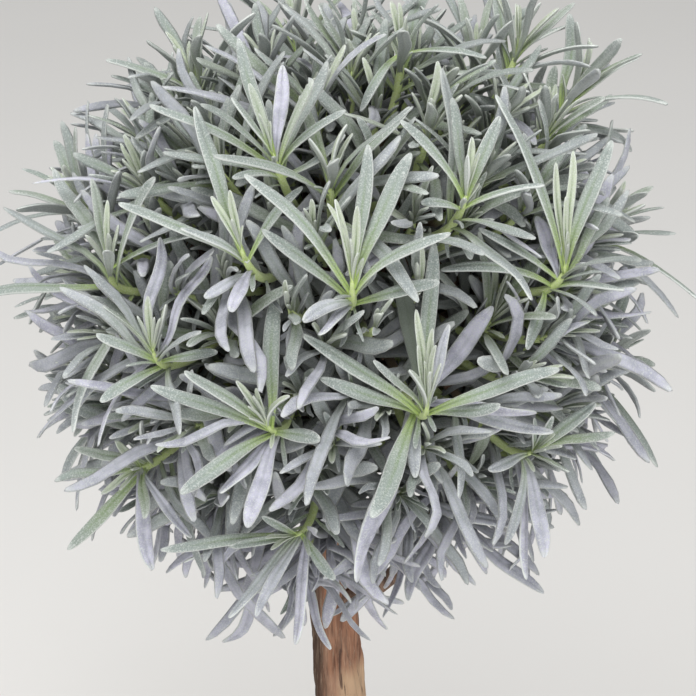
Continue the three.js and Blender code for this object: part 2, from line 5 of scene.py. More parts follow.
import bpy
import numpy as np
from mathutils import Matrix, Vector


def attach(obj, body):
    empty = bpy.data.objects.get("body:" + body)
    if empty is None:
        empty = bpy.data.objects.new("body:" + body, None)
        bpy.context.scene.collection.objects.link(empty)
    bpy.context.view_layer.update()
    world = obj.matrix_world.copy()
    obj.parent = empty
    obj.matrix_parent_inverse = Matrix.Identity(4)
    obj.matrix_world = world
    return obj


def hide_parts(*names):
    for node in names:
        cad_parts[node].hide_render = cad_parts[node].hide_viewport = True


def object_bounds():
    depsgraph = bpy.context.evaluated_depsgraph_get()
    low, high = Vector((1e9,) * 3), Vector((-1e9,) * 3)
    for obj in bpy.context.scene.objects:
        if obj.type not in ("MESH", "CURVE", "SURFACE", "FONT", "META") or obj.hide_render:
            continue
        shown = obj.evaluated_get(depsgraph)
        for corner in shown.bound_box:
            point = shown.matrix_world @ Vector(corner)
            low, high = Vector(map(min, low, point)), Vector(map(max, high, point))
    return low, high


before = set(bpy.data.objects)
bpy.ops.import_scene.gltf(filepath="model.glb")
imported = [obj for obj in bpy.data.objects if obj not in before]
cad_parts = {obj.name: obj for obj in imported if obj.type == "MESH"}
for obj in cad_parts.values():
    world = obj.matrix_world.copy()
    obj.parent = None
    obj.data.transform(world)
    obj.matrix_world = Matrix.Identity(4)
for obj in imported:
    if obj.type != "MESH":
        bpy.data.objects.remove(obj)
cad_box = [list(corner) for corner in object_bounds()]
MM = 0.001


# The photograph's view: 30 degrees down on the head from 632 mm, with the head's centre a little
# left of and above the middle. The same view places the front shoots.
FRAME_PX = 696
VIEW_DOWN = math.radians(30)
VIEW_DISTANCE = 632
VIEW_FOCAL_PX = 1933
HEAD_CENTRE_PX = (340, 300)
HEAD_HEIGHT = 400
RIGHT = np.array([1.0, 0, 0])
UP = np.array([0, 0, 1.0])
VIEW_UP = np.array([0, math.sin(VIEW_DOWN), math.cos(VIEW_DOWN)])
TOWARD = np.array([0, -math.cos(VIEW_DOWN), math.sin(VIEW_DOWN)])

camera = bpy.data.objects.new("camera", bpy.data.cameras.new("camera"))
bpy.context.scene.collection.objects.link(camera)
bpy.context.scene.camera = camera
camera.location = Vector((TOWARD * VIEW_DISTANCE + UP * HEAD_HEIGHT) * MM)
camera.rotation_euler = (math.pi / 2 - VIEW_DOWN, 0, 0)
camera.data.sensor_width = 36
camera.data.lens = camera.data.sensor_width * VIEW_FOCAL_PX / FRAME_PX
camera.data.shift_x = (FRAME_PX / 2 - HEAD_CENTRE_PX[0]) / FRAME_PX
camera.data.shift_y = (HEAD_CENTRE_PX[1] - FRAME_PX / 2) / FRAME_PX
camera.data.clip_start = 0.02


# The pot is a plain flowerpot of fired clay, thrown with a deep rim band and three drain holes.
# It stands on its flat base. Its clay is unglazed, with faint turning lines and a lime bloom.
POT_HEIGHT = 135
RIM_RADIUS = 75
RIM_BAND = 30
RIM_PROUD = 4.5
BASE_RADIUS = 50
POT_WALL = 7
POT_FLOOR = 9
POT_SIDES = 160
RIM_STEP = 1.5
EDGE_ROUND = 2.2
ROUND_SHARE = 0.45
DRAIN_HOLES = 3
DRAIN_RADIUS = 5
DRAIN_CIRCLE = 27
DRAIN_DEPTH = 20
DRAIN_SIDES = 32


class Value:
    """A node socket that takes part in arithmetic."""

    def __init__(self, tree, socket):
        self.tree = tree
        self.socket = socket

    def math(self, operation, *others):
        return self.tree.node("ShaderNodeMath", {"operation": operation}, self, *others)

    def __add__(self, other):
        return self.math("ADD", other)

    def __sub__(self, other):
        return self.math("SUBTRACT", other)

    def __mul__(self, other):
        return self.math("MULTIPLY", other)

    def __rsub__(self, other):
        return self.tree.node("ShaderNodeMath", {"operation": "SUBTRACT"}, other, self)

    __radd__ = __add__
    __rmul__ = __mul__


class Tree:
    """A node tree whose nodes are written as expressions."""

    def node(self, kind, settings, *values, output=0, **named):
        made = self.tree.nodes.new(kind)
        for key, value in settings.items():
            setattr(made, key, value)
        for key, value in [*enumerate(values), *named.items()]:
            socket = made.inputs[key if isinstance(key, int) else key.replace("_", " ")]
            if isinstance(value, Value):
                self.tree.links.new(value.socket, socket)
            else:
                socket.default_value = value
        return Value(self, made.outputs[output])


class Paint(Tree):
    """A material: the shader values given here are the same all over, and finish links those that vary."""

    def __init__(self, name, **shader):
        self.material = bpy.data.materials.new(name)
        self.material.use_nodes = True
        self.tree = self.material.node_tree
        self.shader = self.tree.nodes["Principled BSDF"]
        for socket, value in shader.items():
            self.shader.inputs[socket.replace("_", " ").title()].default_value = value

    def place(self):
        return self.node("ShaderNodeTexCoord", {}, output="Object")

    def attribute(self, name):
        return self.node("ShaderNodeAttribute", {"attribute_name": name}, output="Fac")

    def stretched(self, scale):
        return self.node("ShaderNodeMapping", {}, self.place(), Scale=scale)

    def noise(self, scale, detail=4.0, rough=0.55, where=None):
        place = where or self.place()
        return self.node("ShaderNodeTexNoise", {}, Vector=place, Scale=scale, Detail=detail, Roughness=rough)

    def ramp(self, value, low, high):
        """From 0 where the value is at low to 1 where it is at high, with soft ends."""
        made = self.tree.nodes.new("ShaderNodeMapRange")
        made.interpolation_type = "SMOOTHSTEP"
        self.tree.links.new(value.socket, made.inputs["Value"])
        made.inputs["From Min"].default_value = low
        made.inputs["From Max"].default_value = high
        return Value(self, made.outputs[0])

    def mix(self, share, a, b):
        """From colour a at share 0 to b at share 1, each a socket or the photograph's 0 to 255 values."""
        made = self.tree.nodes.new("ShaderNodeMix")
        made.data_type = "RGBA"
        for key, value in (("Factor_Float", share), ("A_Color", a), ("B_Color", b)):
            socket = next(s for s in made.inputs if s.identifier == key)
            if isinstance(value, Value):
                self.tree.links.new(value.socket, socket)
            elif key == "Factor_Float":
                socket.default_value = value
            else:
                socket.default_value = (*srgb(*value), 1)
        return Value(self, next(s for s in made.outputs if s.identifier == "Result_Color"))

    def finish(self, colour, roughness, height, bump_mm):
        self.tree.links.new(colour.socket, self.shader.inputs["Base Color"])
        self.tree.links.new(roughness.socket, self.shader.inputs["Roughness"])
        bump = self.node("ShaderNodeBump", {}, Height=height, Distance=bump_mm * MM, Strength=1.0)
        self.tree.links.new(bump.socket, self.shader.inputs["Normal"])
        return self.material


def srgb(red, green, blue):
    """A colour's 0 to 255 values as a shader takes them."""
    return [((c / 255 + 0.055) / 1.055) ** 2.4 if c > 10 else c / 3294 for c in (red, green, blue)]


def add_object(name, data):
    made = bpy.data.objects.new(name, data)
    bpy.context.scene.collection.objects.link(made)
    return made


def make_object(name, points, faces, material, **attributes):
    """A piece from points in millimetres, with one value a point for each attribute."""
    mesh = bpy.data.meshes.new(name)
    mesh.from_pydata((np.asarray(points) * MM).tolist(), [], faces)
    mesh.polygons.foreach_set("use_smooth", [True] * len(mesh.polygons))
    for key, values in attributes.items():
        mesh.attributes.new(key, "FLOAT", "POINT").data.foreach_set("value", np.asarray(values, np.float32))
    mesh.materials.append(material)
    return add_object(name, mesh)


def applied(piece):
    """The piece's mesh with its modifiers applied, which are then gone."""
    mesh = bpy.data.meshes.new_from_object(piece.evaluated_get(bpy.context.evaluated_depsgraph_get()))
    piece.modifiers.clear()
    return mesh


def lathe(profile, sides):
    """Points and faces of an outline of (radius, height) that starts and ends on the axis."""
    angle = np.arange(sides) * 2 * math.pi / sides
    circle = np.column_stack([np.cos(angle), np.sin(angle), np.zeros(sides)])
    rings = [circle * r + [0, 0, z] for r, z in profile[1:-1]]
    points = np.vstack([[[0, 0, profile[0][1]]], *rings, [[0, 0, profile[-1][1]]]])
    faces = [(0, 1 + (k + 1) % sides, 1 + k) for k in range(sides)]
    for i in range(len(rings) - 1):
        low = 1 + i * sides
        for k in range(sides):
            after = (k + 1) % sides
            faces.append((low + k, low + after, low + sides + after, low + sides + k))
    last = 1 + (len(rings) - 1) * sides
    faces += [(last + k, last + (k + 1) % sides, len(points) - 1) for k in range(sides)]
    return points, faces


def pot_bore(z):
    """The pot's inner radius at a height."""
    return BASE_RADIUS + (RIM_RADIUS - RIM_PROUD - BASE_RADIUS) * z / POT_HEIGHT - POT_WALL


def rounded(corners, reach, steps=4):
    """An outline whose inner corners are rounded, each over the reach or what its edges have room for."""
    out = [corners[0]]
    for a, b, c in zip(corners, corners[1:], corners[2:]):
        a, b, c = (np.array(p, float) for p in (a, b, c))
        r = min(reach, ROUND_SHARE * np.linalg.norm(a - b), ROUND_SHARE * np.linalg.norm(c - b))
        p = b + (a - b) / np.linalg.norm(a - b) * r
        q = b + (c - b) / np.linalg.norm(c - b) * r
        for t in np.linspace(0, 1, steps + 1):
            out.append(tuple((1 - t) ** 2 * p + 2 * t * (1 - t) * b + t**2 * q))
    return [*out, corners[-1]]


def clay_paint():
    """Fired clay, mottled and speckled, with white lime low down and in blotches, and a damp foot."""
    clay = Paint("clay")
    mottle = clay.noise(28, 6)
    fine = clay.noise(420, 3)
    lines = clay.noise(60, 3, where=clay.stretched((0.05, 0.05, 9)))
    height = clay.node("ShaderNodeSeparateXYZ", {}, clay.place(), output="Z")
    base = clay.mix(clay.ramp(mottle, 0.3, 0.7), (176, 98, 66), (199, 126, 90))
    base = clay.mix(clay.ramp(fine, 0.56, 0.7) * 0.35, base, (222, 168, 138))
    lime = clay.ramp(clay.noise(19, 7, 0.62), 0.52, 0.72) * clay.ramp(height, 0.11, 0.02) * 0.6
    lime = lime + clay.ramp(clay.noise(45, 5), 0.58, 0.74) * 0.3
    base = clay.mix(lime, base, (224, 205, 190))
    damp = clay.ramp(clay.noise(14, 5), 0.5, 0.66) * clay.ramp(height, 0.05, 0.0) * 0.5
    base = clay.mix(damp, base, (120, 78, 56))
    return clay.finish(base, 0.78 + 0.16 * mottle, fine * 0.5 + lines + mottle * 0.4, 0.35)


band = POT_HEIGHT - RIM_BAND
wall = pot_bore(band) + POT_WALL
pot_profile = rounded(
    [
        (0, 0),
        (BASE_RADIUS, 0),
        (wall, band),
        (wall + RIM_PROUD, band + RIM_STEP),
        (RIM_RADIUS, POT_HEIGHT),
        (pot_bore(POT_HEIGHT), POT_HEIGHT),
        (pot_bore(POT_FLOOR), POT_FLOOR),
        (0, POT_FLOOR),
    ],
    EDGE_ROUND,
)
pot = make_object("clay_pot", *lathe(pot_profile, POT_SIDES), clay_paint())
for i in range(DRAIN_HOLES):
    turn = 2 * math.pi * (i + 0.5) / DRAIN_HOLES
    drill = [(0, -DRAIN_DEPTH), (DRAIN_RADIUS, -DRAIN_DEPTH), (DRAIN_RADIUS, DRAIN_DEPTH), (0, DRAIN_DEPTH)]
    hole, faces = lathe(drill, DRAIN_SIDES)
    middle = [DRAIN_CIRCLE * math.cos(turn), DRAIN_CIRCLE * math.sin(turn), 0]
    cutter = make_object("drain", hole + middle, faces, None)
    cut = pot.modifiers.new("drain", "BOOLEAN")
    cut.object = cutter
    cut.operation = "DIFFERENCE"
    cut.solver = "EXACT"
    pot.data = applied(pot)
    bpy.data.objects.remove(cutter)
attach(pot, "root")
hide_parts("pot")


# The front shoots and the rest of the ball: where each leafy shoot's tip is and which way it points.
# Those in front are placed by the pixels in which the photograph shows them; the others follow a
# golden spiral. The same rule made the CAD's shoots.
ROSETTE_RADIUS = 88
STEM_FOOT_SHARE = 0.59
STEM_BEND = 0.45
SPIRAL_SHOOTS = 56
LOWEST_SHOOT = -0.86
SHOOT_SPACING = 38
SKYWARD = 0.75
# Growing tip's pixel, lean (right, up, toward the viewer), the first pair that the rule adds, and the
# leaves shown, a pair a line from the top down, each by its tip's pixel, mm nearer than its root, bow in
# degrees, width and age from fresh 0 to old 1. One stem's foot is given, since its limb is seen.
FRONT_SHOOTS = [
    dict(at=(427, 402), lean=(-0.05, 0.8, 0.6), ruled=5, leaves=[
        (416, 309, 6, 8, 2.6, 0), (424, 328, 10, -10, 2.4, 0),
        (409, 370, 12, 34, 2.8, 0.05), (449, 324, 2, 10, 3.4, 0.6),
        (434, 241, -3, 10, 4.9, 0.25), (396, 250, -8, 12, 5.6, 0.3),
        (302, 334, 6, 32, 5, 0.15), (560, 369, 6, 38, 4.7, 0.25),
        (320, 378, 12, 26, 4.4, 0.25), (494, 392, 14, -46, 4, 0.25),
        (371, 518, 20, 30, 6, 0.2), (493, 306, -12, 10, 6, 1),
        (537, 413, 3, 16, 4.6, 0.9), (357, 583, 3, 16, 5.8, 1),
        (554, 432, 5, -44, 4.6, 0.6), (415, 478, 14, 24, 4.4, 0.5),
    ]),
    dict(at=(352, 278), lean=(-0.04, 0.88, 0.47), ruled=5, leaves=[
        (335, 199, 7, 12, 2.6, 0), (352, 205, 8, -10, 2.6, 0),
        (368, 144, -2, 10, 4.6, 0.25), (395, 148, -6, 12, 5.4, 0.25),
        (244, 174, 6, 46, 4.6, 0.25), (451, 233, 8, 62, 4, 0.25),
        (262, 229, 0, 28, 4.4, 0.25), (303, 322, 12, 60, 4.4, 0.55),
        (440, 282, 3, 30, 4.2, 0.25), (318, 335, 12, 54, 3.6, 0.7),
    ]),
    dict(at=(266, 424), lean=(-0.36, 0.58, 0.72), ruled=5, leaves=[
        (236, 381, 12, 8, 2.4, 0), (290, 396, 11, 60, 2.8, 0),
        (276, 292, -6, 10, 5.2, 0.25), (184, 371, 10, 22, 4.2, 0.1),
        (150, 386, 6, 22, 4.2, 0.25), (320, 440, 12, 30, 4.4, 0.25),
        (180, 494, 14, 36, 5, 0.25), (247, 528, 8, 24, 5.8, 1),
        (227, 500, 10, 24, 4.4, 0.8), (230, 472, 13, 22, 3.8, 0.25),
    ]),
    dict(at=(566, 262), lean=(0.02, 0.93, 0.36), ruled=5, leaves=[
        (573, 150, 4, 10, 2.8, 0), (556, 162, 6, -20, 2.6, 0),
        (505, 90, 4, 28, 5.6, 0.25), (612, 140, 4, 30, 5.2, 0.25),
        (536, 216, -5, 10, 5, 0.8), (478, 228, 2, 26, 4, 0.25),
        (440, 270, 8, 64, 4.6, 0.25), (625, 290, 8, 44, 4.8, 0.25),
        (527, 350, 12, 26, 4.6, 0.25),
    ]),
    dict(at=(240, 246), lean=(-0.26, 0.86, 0.44), ruled=5, leaves=[
        (211, 196, 4, 8, 2.6, 0), (228, 190, 6, -10, 2.4, 0),
        (195, 106, -2, 16, 4.8, 0.25), (188, 161, 5, 22, 3.8, 0.25),
        (118, 203, 4, 26, 4.2, 0.25), (312, 192, -2, 44, 3.4, 0.25),
        (180, 228, 10, 54, 3.4, 0.4), (231, 312, 12, 44, 4.6, 0.8),
        (210, 302, 13, 40, 3.8, 0.6),
    ]),
    dict(at=(152, 348), lean=(-0.1, 0.8, 0.58), ruled=4, leaves=[
        (148, 296, 8, 10, 2.6, 0), (166, 304, 8, -10, 2.6, 0),
        (160, 237, 2, 12, 4.2, 0.7), (212, 256, 4, 22, 4.2, 0.85),
        (96, 334, 6, 30, 4.2, 0.25), (218, 352, 2, 30, 3.6, 0.25),
        (100, 402, 8, 36, 4.4, 0.25),
    ]),
    dict(at=(272, 152), lean=(-0.28, 0.86, 0.42), ruled=5, leaves=[
        (249, 83, 4, 8, 3, 0.05), (233, 94, 7, 14, 3.6, 0.1),
        (238, 38, -2, 12, 4.2, 0.25), (283, 65, -6, 8, 4.6, 0.9),
        (146, 110, 4, 28, 4, 0.25), (346, 110, 4, 52, 3.4, 0.25),
        (232, 178, 10, 50, 3.2, 0.25), (345, 134, -2, -24, 3.6, 0.4),
    ]),
    dict(at=(467, 192), lean=(0.16, 0.88, 0.45), ruled=3, leaves=[
        (472, 137, 5, 8, 2.8, 0), (468, 155, 8, -10, 2.4, 0),
        (500, 116, -2, 12, 4.2, 0.25), (400, 120, 2, 42, 4.2, 0.25),
        (545, 185, 4, 44, 3.6, 0.25), (421, 203, 10, 44, 3.6, 0.25),
    ]),
    dict(at=(295, 536), lean=(-0.55, -0.12, 0.82), ruled=5, leaves=[
        (230, 547, 8, 8, 2.8, 0.1), (262, 516, 10, 16, 2.8, 0.1),
        (160, 550, 4, 22, 3.8, 0.25), (335, 580, 6, 22, 3.8, 0.25),
        (228, 618, 5, 22, 4.2, 0.5), (248, 612, 9, 18, 3.8, 0.6),
        (295, 645, 2, 14, 4.8, 0.9),
    ]),
    dict(at=(535, 452), lean=(0.5, 0.3, 0.8), ruled=5, leaves=[
        (553, 416, 8, 10, 2.8, 0.1), (534, 418, 9, 10, 2.4, 0.1),
        (596, 402, 2, 22, 4.4, 0.25), (488, 470, 8, 44, 3.8, 0.5),
        (544, 558, 8, 36, 5.4, 0.7), (505, 545, 4, 64, 3.6, 0.5),
        (527, 580, 1, 30, 4.8, 0.9),
    ]),
    dict(at=(110, 266), lean=(0.2, 0.8, 0.56), ruled=1, leaves=[(213, 231, 8, 36, 3.8, 0.25)]),
    dict(at=(138, 468), lean=(-0.3, 0.12, 0.95), ruled=1, leaves=[
        (153, 570, 6, 30, 5.2, 0.9), (192, 538, 6, 24, 3.4, 0.7),
    ]),
    dict(at=(402, 50), lean=(0.02, 0.92, 0.4), ruled=2, leaves=[
        (360, 112, 10, 64, 4.2, 0.25), (487, 58, 2, 40, 3.6, 0.25),
    ]),
    dict(at=(484, 48), lean=(0.05, 0.88, 0.47)),
    dict(at=(192, 78), lean=(-0.16, 0.9, 0.4)),
    dict(at=(548, 130), lean=(0.15, 0.92, 0.36)),
    dict(at=(398, 505), reach=72, lean=(0.1, 0, 0.98)),
    dict(at=(458, 535), reach=76, lean=(0.3, -0.25, 0.9), foot=(31, -36, -60)),
    dict(at=(330, 178), reach=80, lean=(-0.02, 0.9, 0.43)),
    dict(at=(492, 318), reach=68, lean=(0.22, 0.85, 0.48)),
    dict(at=(222, 330), reach=66, lean=(-0.2, 0.7, 0.6)),
    dict(at=(520, 44), reach=100, lean=(0.2, 0.95, 0.2)),
    dict(at=(590, 80), reach=102, lean=(0.45, 0.85, 0.2)),
]


def chance(n):
    """A number from 0 to 1, the same for the same whole number. What is added to a seed keeps draws apart."""
    s = math.sin(n * 12.9898 + 4.1) * 43758.5453
    return s - math.floor(s)


def unit(v):
    return v / np.linalg.norm(v)


def from_view(right, up, toward):
    return RIGHT * right + VIEW_UP * up + TOWARD * toward


def shown_at(across, down, toward):
    """The point that the photograph shows at a pixel, so many millimetres before the head's centre."""
    scale = (VIEW_DISTANCE - toward) / VIEW_FOCAL_PX
    return from_view((across - HEAD_CENTRE_PX[0]) * scale, (HEAD_CENTRE_PX[1] - down) * scale, toward)


def rosette_at(at, reach):
    """The point that the photograph shows at a pixel, so far from the head's centre."""
    ray = unit(from_view(at[0] - HEAD_CENTRE_PX[0], HEAD_CENTRE_PX[1] - at[1], -VIEW_FOCAL_PX))
    eye = TOWARD * VIEW_DISTANCE
    nearest = -eye @ ray
    miss = np.linalg.norm(eye + ray * nearest)
    half = math.sqrt(max(0, reach**2 - miss**2))
    return unit(eye + ray * (nearest - half)) * reach


def spiral(i, height, turn=0):
    """The direction of a step of a golden spiral round the upright axis."""
    turn = i * math.pi * (3 - math.sqrt(5)) + turn
    around = math.sqrt(1 - height**2)
    return np.array([around * math.cos(turn), around * math.sin(turn), height])


CURVE_STEPS = 201


class Curve:
    """A smooth curve pulled toward its corners, with its points at even spacing along it."""

    def __init__(self, *corners):
        self.corners = [np.array(c, float) for c in corners]
        end = self.corners[-1]
        self.square = unit(np.cross(end - self.corners[0], end - self.corners[-2]))
        self.steps = np.linspace(0, 1, CURVE_STEPS)
        walk = self.blend(self.corners, self.steps)
        self.lengths = np.append(0, np.cumsum(np.linalg.norm(np.diff(walk, axis=0), axis=1)))
        self.length = self.lengths[-1]

    def blend(self, corners, t):
        t = np.asarray(t, float)[..., None]
        n = len(corners) - 1
        return sum(math.comb(n, k) * (1 - t) ** (n - k) * t**k * c for k, c in enumerate(corners))

    def points(self, shares):
        t = np.interp(np.asarray(shares) * self.length, self.lengths, self.steps)
        return self.blend(self.corners, t)

    def at(self, share):
        """The point and direction at a share of the curve's length."""
        t = np.interp(share * self.length, self.lengths, self.steps)
        return self.blend(self.corners, t), unit(self.blend(np.diff(self.corners, axis=0), t))


def stem_of(tip, lean, foot=None):
    """A shoot's stem starts on its twig in the head and bends in one plane to its own lean at the tip."""
    start = tip * STEM_FOOT_SHARE if foot is None else np.array(foot, float)
    return Curve(start, tip - lean * STEM_BEND * np.linalg.norm(tip - start), tip)


shoots = [
    dict(s, tip=rosette_at(s["at"], s.get("reach", ROSETTE_RADIUS)), lean=unit(from_view(*s["lean"])))
    for s in FRONT_SHOOTS
]
for i in range(SPIRAL_SHOOTS):
    height = 1 - (2 * (i + 0.5)) / SPIRAL_SHOOTS
    out = spiral(i, height)
    near = min(np.linalg.norm(s["tip"] - out * ROSETTE_RADIUS) for s in shoots[: len(FRONT_SHOOTS)])
    if height >= LOWEST_SHOOT and near >= SHOOT_SPACING:
        shoots.append(dict(tip=out * ROSETTE_RADIUS, lean=unit(out + UP * SKYWARD)))
for i, shoot in enumerate(shoots):
    shoot.update(stem=stem_of(shoot["tip"], shoot["lean"], shoot.get("foot")), seed=100 * (i + 1), blades=[])


# Leaves: linear, felted with white hairs, widest past the middle and blunt at the tip, in crossed
# pairs. Each is set as the photograph shows it or by a rule, and turned until it is clear.
ROOT_SHARE = 0.36
PAIR_STEP = 0.08
STEM_THICK = 1.7
STEM_THIN = 1.4
TWIG_RADIUS = 2.1
LEAF_PAIRS = [
    dict(place=1, age=0, length=17, spread=17, bow=24, width=2.4),
    dict(place=0.9, age=0.08, length=27, spread=34, bow=26, width=3.6),
    dict(place=0.79, age=0.2, length=39, spread=52, bow=32, width=4.6),
    dict(place=0.62, age=0.4, length=42, spread=68, bow=40, width=4.6),
    dict(place=0.44, age=0.8, length=35, spread=84, bow=46, width=4.3, lone=True),
]
TURNS = [0, 9, -9, 18, -18, 27, -27, 38, -38]
SPREADS = [0, 10, -12]
CLEARANCE = 0.5
OWN_ROOTS = 0.4
BEAD_STEP = 3
BEADS_FROM = 0.12
BEAD_WIDTH = 0.46
NEAR_ROOM = 12
BEAD_REACH = 14
BEAD_ROOM = 20000
TOP_ROOT = 1.2
WIDEST_AT = 0.62
BLUNT_FROM = 0.7
# What chance adds to a leaf: degrees round the stem, share of its length, degrees from the stem
QUARTER_PLAY = 20
LENGTH_PLAY = 0.26
SPREAD_PLAY = 16
RULED_SKYWARD = 0.8
SHOWN_SKYWARD = 0.5


def cross(a, b):
    """The cross product of two vectors, written out since that is quicker for so few numbers."""
    return np.array([a[1] * b[2] - a[2] * b[1], a[2] * b[0] - a[0] * b[2], a[0] * b[1] - a[1] * b[0]])


def turned(v, axis, angle):
    angle = math.radians(angle)
    return v * math.cos(angle) + cross(axis, v) * math.sin(angle) + axis * (axis @ v) * (1 - math.cos(angle))


class Leaf:
    """A leaf over its chord, bowed to its upper side. Its shade and sway are set for those shown."""

    def __init__(self, root, chord, over, bow, width, age):
        self.age = age
        self.shade = 0
        self.sway = 1
        self.root = root
        self.length = np.linalg.norm(chord)
        self.along = chord / self.length
        self.upper = unit(over - self.along * (over @ self.along))
        self.side = cross(self.along, self.upper)
        self.bow = math.radians(bow)
        self.width = width

    def arc(self, t):
        """Points, upward directions and forward directions at shares of the leaf's length."""
        turn = (t - 0.5) * self.bow
        radius = self.length / (2 * math.sin(self.bow / 2))
        rise = radius * (np.cos(turn) - math.cos(self.bow / 2))
        sine, cosine = np.sin(turn)[:, None], np.cos(turn)[:, None]
        middle = self.root + self.along * self.length / 2
        point = middle + radius * sine * self.along + rise[:, None] * self.upper
        return point, sine * self.along + cosine * self.upper, cosine * self.along - sine * self.upper

    def beads(self):
        steps = math.ceil(self.length / BEAD_STEP)
        t = BEADS_FROM + (1 - BEADS_FROM) * (np.arange(steps) + 0.5) / steps
        return self.arc(t)[0], BEAD_WIDTH * self.width * leaf_taper(t), t


def leaf_taper(t):
    """A leaf's width along its length, as a share of its widest."""
    x = np.clip(t / WIDEST_AT, 0, 1)
    blunt = np.sqrt(np.maximum(0, 1 - np.maximum(0, (t - BLUNT_FROM) / (1 - BLUNT_FROM)) ** 2.4))
    return (ROOT_SHARE + (1 - ROOT_SHARE) * x * x * (3 - 2 * x)) * blunt


class Beads:
    """Everything placed so far, as round beads that no new leaf may touch."""

    def __init__(self, room):
        self.rows = np.empty((room, 6))
        self.count = 0

    def strew(self, owner, points, radius, t=0.0):
        points = np.atleast_2d(points)
        block = self.rows[self.count : self.count + len(points)]
        block[:, :3], block[:, 3], block[:, 4], block[:, 5] = points, radius, t, owner
        self.count += len(points)

    def near(self, centre, reach):
        rows = self.rows[: self.count]
        reach = reach + NEAR_ROOM
        rows = rows[np.abs(rows[:, 0] - centre[0]) < reach]
        return rows[((rows[:, :3] - centre) ** 2).sum(axis=1) < reach**2]

    def clear(self, owner, found, rows):
        points, radius, t = found
        low, high = points.min(axis=0) - BEAD_REACH, points.max(axis=0) + BEAD_REACH
        rows = rows[((rows[:, :3] > low) & (rows[:, :3] < high)).all(axis=1)]
        others = rows[:, :3]
        gap = (points**2).sum(axis=1)[:, None] + (others**2).sum(axis=1) - 2 * points @ others.T
        touch = gap <= (radius[:, None] + rows[:, 3] + CLEARANCE) ** 2
        if not touch.any():
            return True
        own = (rows[:, 5] == owner) & ((rows[:, 4] < OWN_ROOTS) | (t[:, None] < OWN_ROOTS))
        return not (touch & ~own).any()


WOOD = -1
beads = Beads(BEAD_ROOM)


def settle(shoot, options):
    """Adds the first option that is clear of everything placed so far."""
    rows = None
    for leaf in options:
        rows = beads.near(leaf.root, leaf.length) if rows is None else rows
        found = leaf.beads()
        if beads.clear(shoot["seed"], found, rows):
            shoot["blades"].append(leaf)
            beads.strew(shoot["seed"], *found)
            return


def leaf_root(stem, place):
    return stem.at(min(place, 1 - TOP_ROOT / stem.length))


def pair_leaf(shoot, n, pair, side):
    """A ruled leaf's places, one after another: as the rule says, then turned and spread a little."""
    root, axis = leaf_root(shoot["stem"], pair["place"])
    seed = shoot["seed"]
    quarter = 90 * n + 180 * side + 90 * chance(seed) + QUARTER_PLAY * (chance(seed + side) - 0.5)
    length = pair["length"] * (1 + LENGTH_PLAY * (chance(seed + side + 31) - 0.5))
    spread = pair["spread"] + SPREAD_PLAY * (chance(seed + side + 57) - 0.5)
    bow = pair["bow"] * (0.5 + chance(seed + side + 83))
    over = axis + UP * RULED_SKYWARD
    for wider in SPREADS:
        for turn in TURNS:
            away = turned(shoot["stem"].square, axis, quarter + turn)
            angle = math.radians(spread + wider)
            chord = (axis * math.cos(angle) + away * math.sin(angle)) * length
            yield Leaf(root, chord, over, bow, pair["width"], pair["age"])


def shown_leaf(stem, shown, place):
    """A shown leaf's places: as the photograph shows it, then turned a little about its stem."""
    across, down, nearer, bow, width, age = shown
    root, axis = leaf_root(stem, place)
    chord = shown_at(across, down, root @ TOWARD + nearer) - root
    over = axis + UP * SHOWN_SKYWARD
    return [Leaf(root, turned(chord, axis, turn / 2), over, bow, width, age) for turn in TURNS]


# The wood is one grown piece: a trunk that runs on into the head, limbs that fork from it, and a twig
# from a limb to the foot of each shoot. These are its centre lines, which the leaves have to clear.
SOIL_TOP = 117
TRUNK_FOOT = 58
TRUNK_RADIUS = 10
LEADER_RADIUS = 4
TRUNK_TOP = 374
SWAY_RISE = 45
SWAY_ACROSS = (-3.2, 233, 140)
SWAY_ALONG = (1.9, 180, 120)
LIMB_COUNT = 9
LIMB_REACH = 27
LIMB_STEEPEST = 0.95
LIMB_LOWEST = -0.65
FORKS_FROM = 332
FORKS_TO = 372
LIMB_SAG = 4
TWIG_FORK = 0.85
TWIG_BEND = 9
TWIG_FOOT_RADIUS = 2.6
LOW_FORK = 274
LOW_BEND = (20, -20, -106)
LOW_END_BEND = 16
LOW_FOOT_RADIUS = 3.4


def smooth(value, low, high):
    x = np.clip((value - low) / (high - low), 0, 1)
    return x * x * (3 - 2 * x)


def trunk_at(z):
    """The trunk's centre at a height: it sways a little on its way up from the soil."""
    freed = smooth(z, SOIL_TOP, SOIL_TOP + SWAY_RISE)
    x, y = (
        freed * by * math.sin(math.pi * (z - crosses) / length)
        for by, crosses, length in (SWAY_ACROSS, SWAY_ALONG)
    )
    return np.array([x, y, z])


limbs = []
for i in range(LIMB_COUNT):
    share = i / (LIMB_COUNT - 1)
    height = LIMB_STEEPEST + (LIMB_LOWEST - LIMB_STEEPEST) * share
    end = spiral(i, height) * LIMB_REACH
    start = trunk_at(FORKS_TO + (FORKS_FROM - FORKS_TO) * share) - UP * HEAD_HEIGHT
    limbs.append(Curve(start, (start + end) / 2 - UP * LIMB_SAG, end))


def twig_to(foot, along, fork=None):
    """The twig that ends at a shoot's foot, from the nearest limb or from a fork on the trunk."""
    if fork:
        return Curve(trunk_at(LOW_FORK) - UP * HEAD_HEIGHT, fork, foot - along * LOW_END_BEND, foot)
    limb = min(limbs, key=lambda b: np.linalg.norm(b.corners[-1] - foot))
    return Curve(limb.points(TWIG_FORK), foot - along * TWIG_BEND, foot)


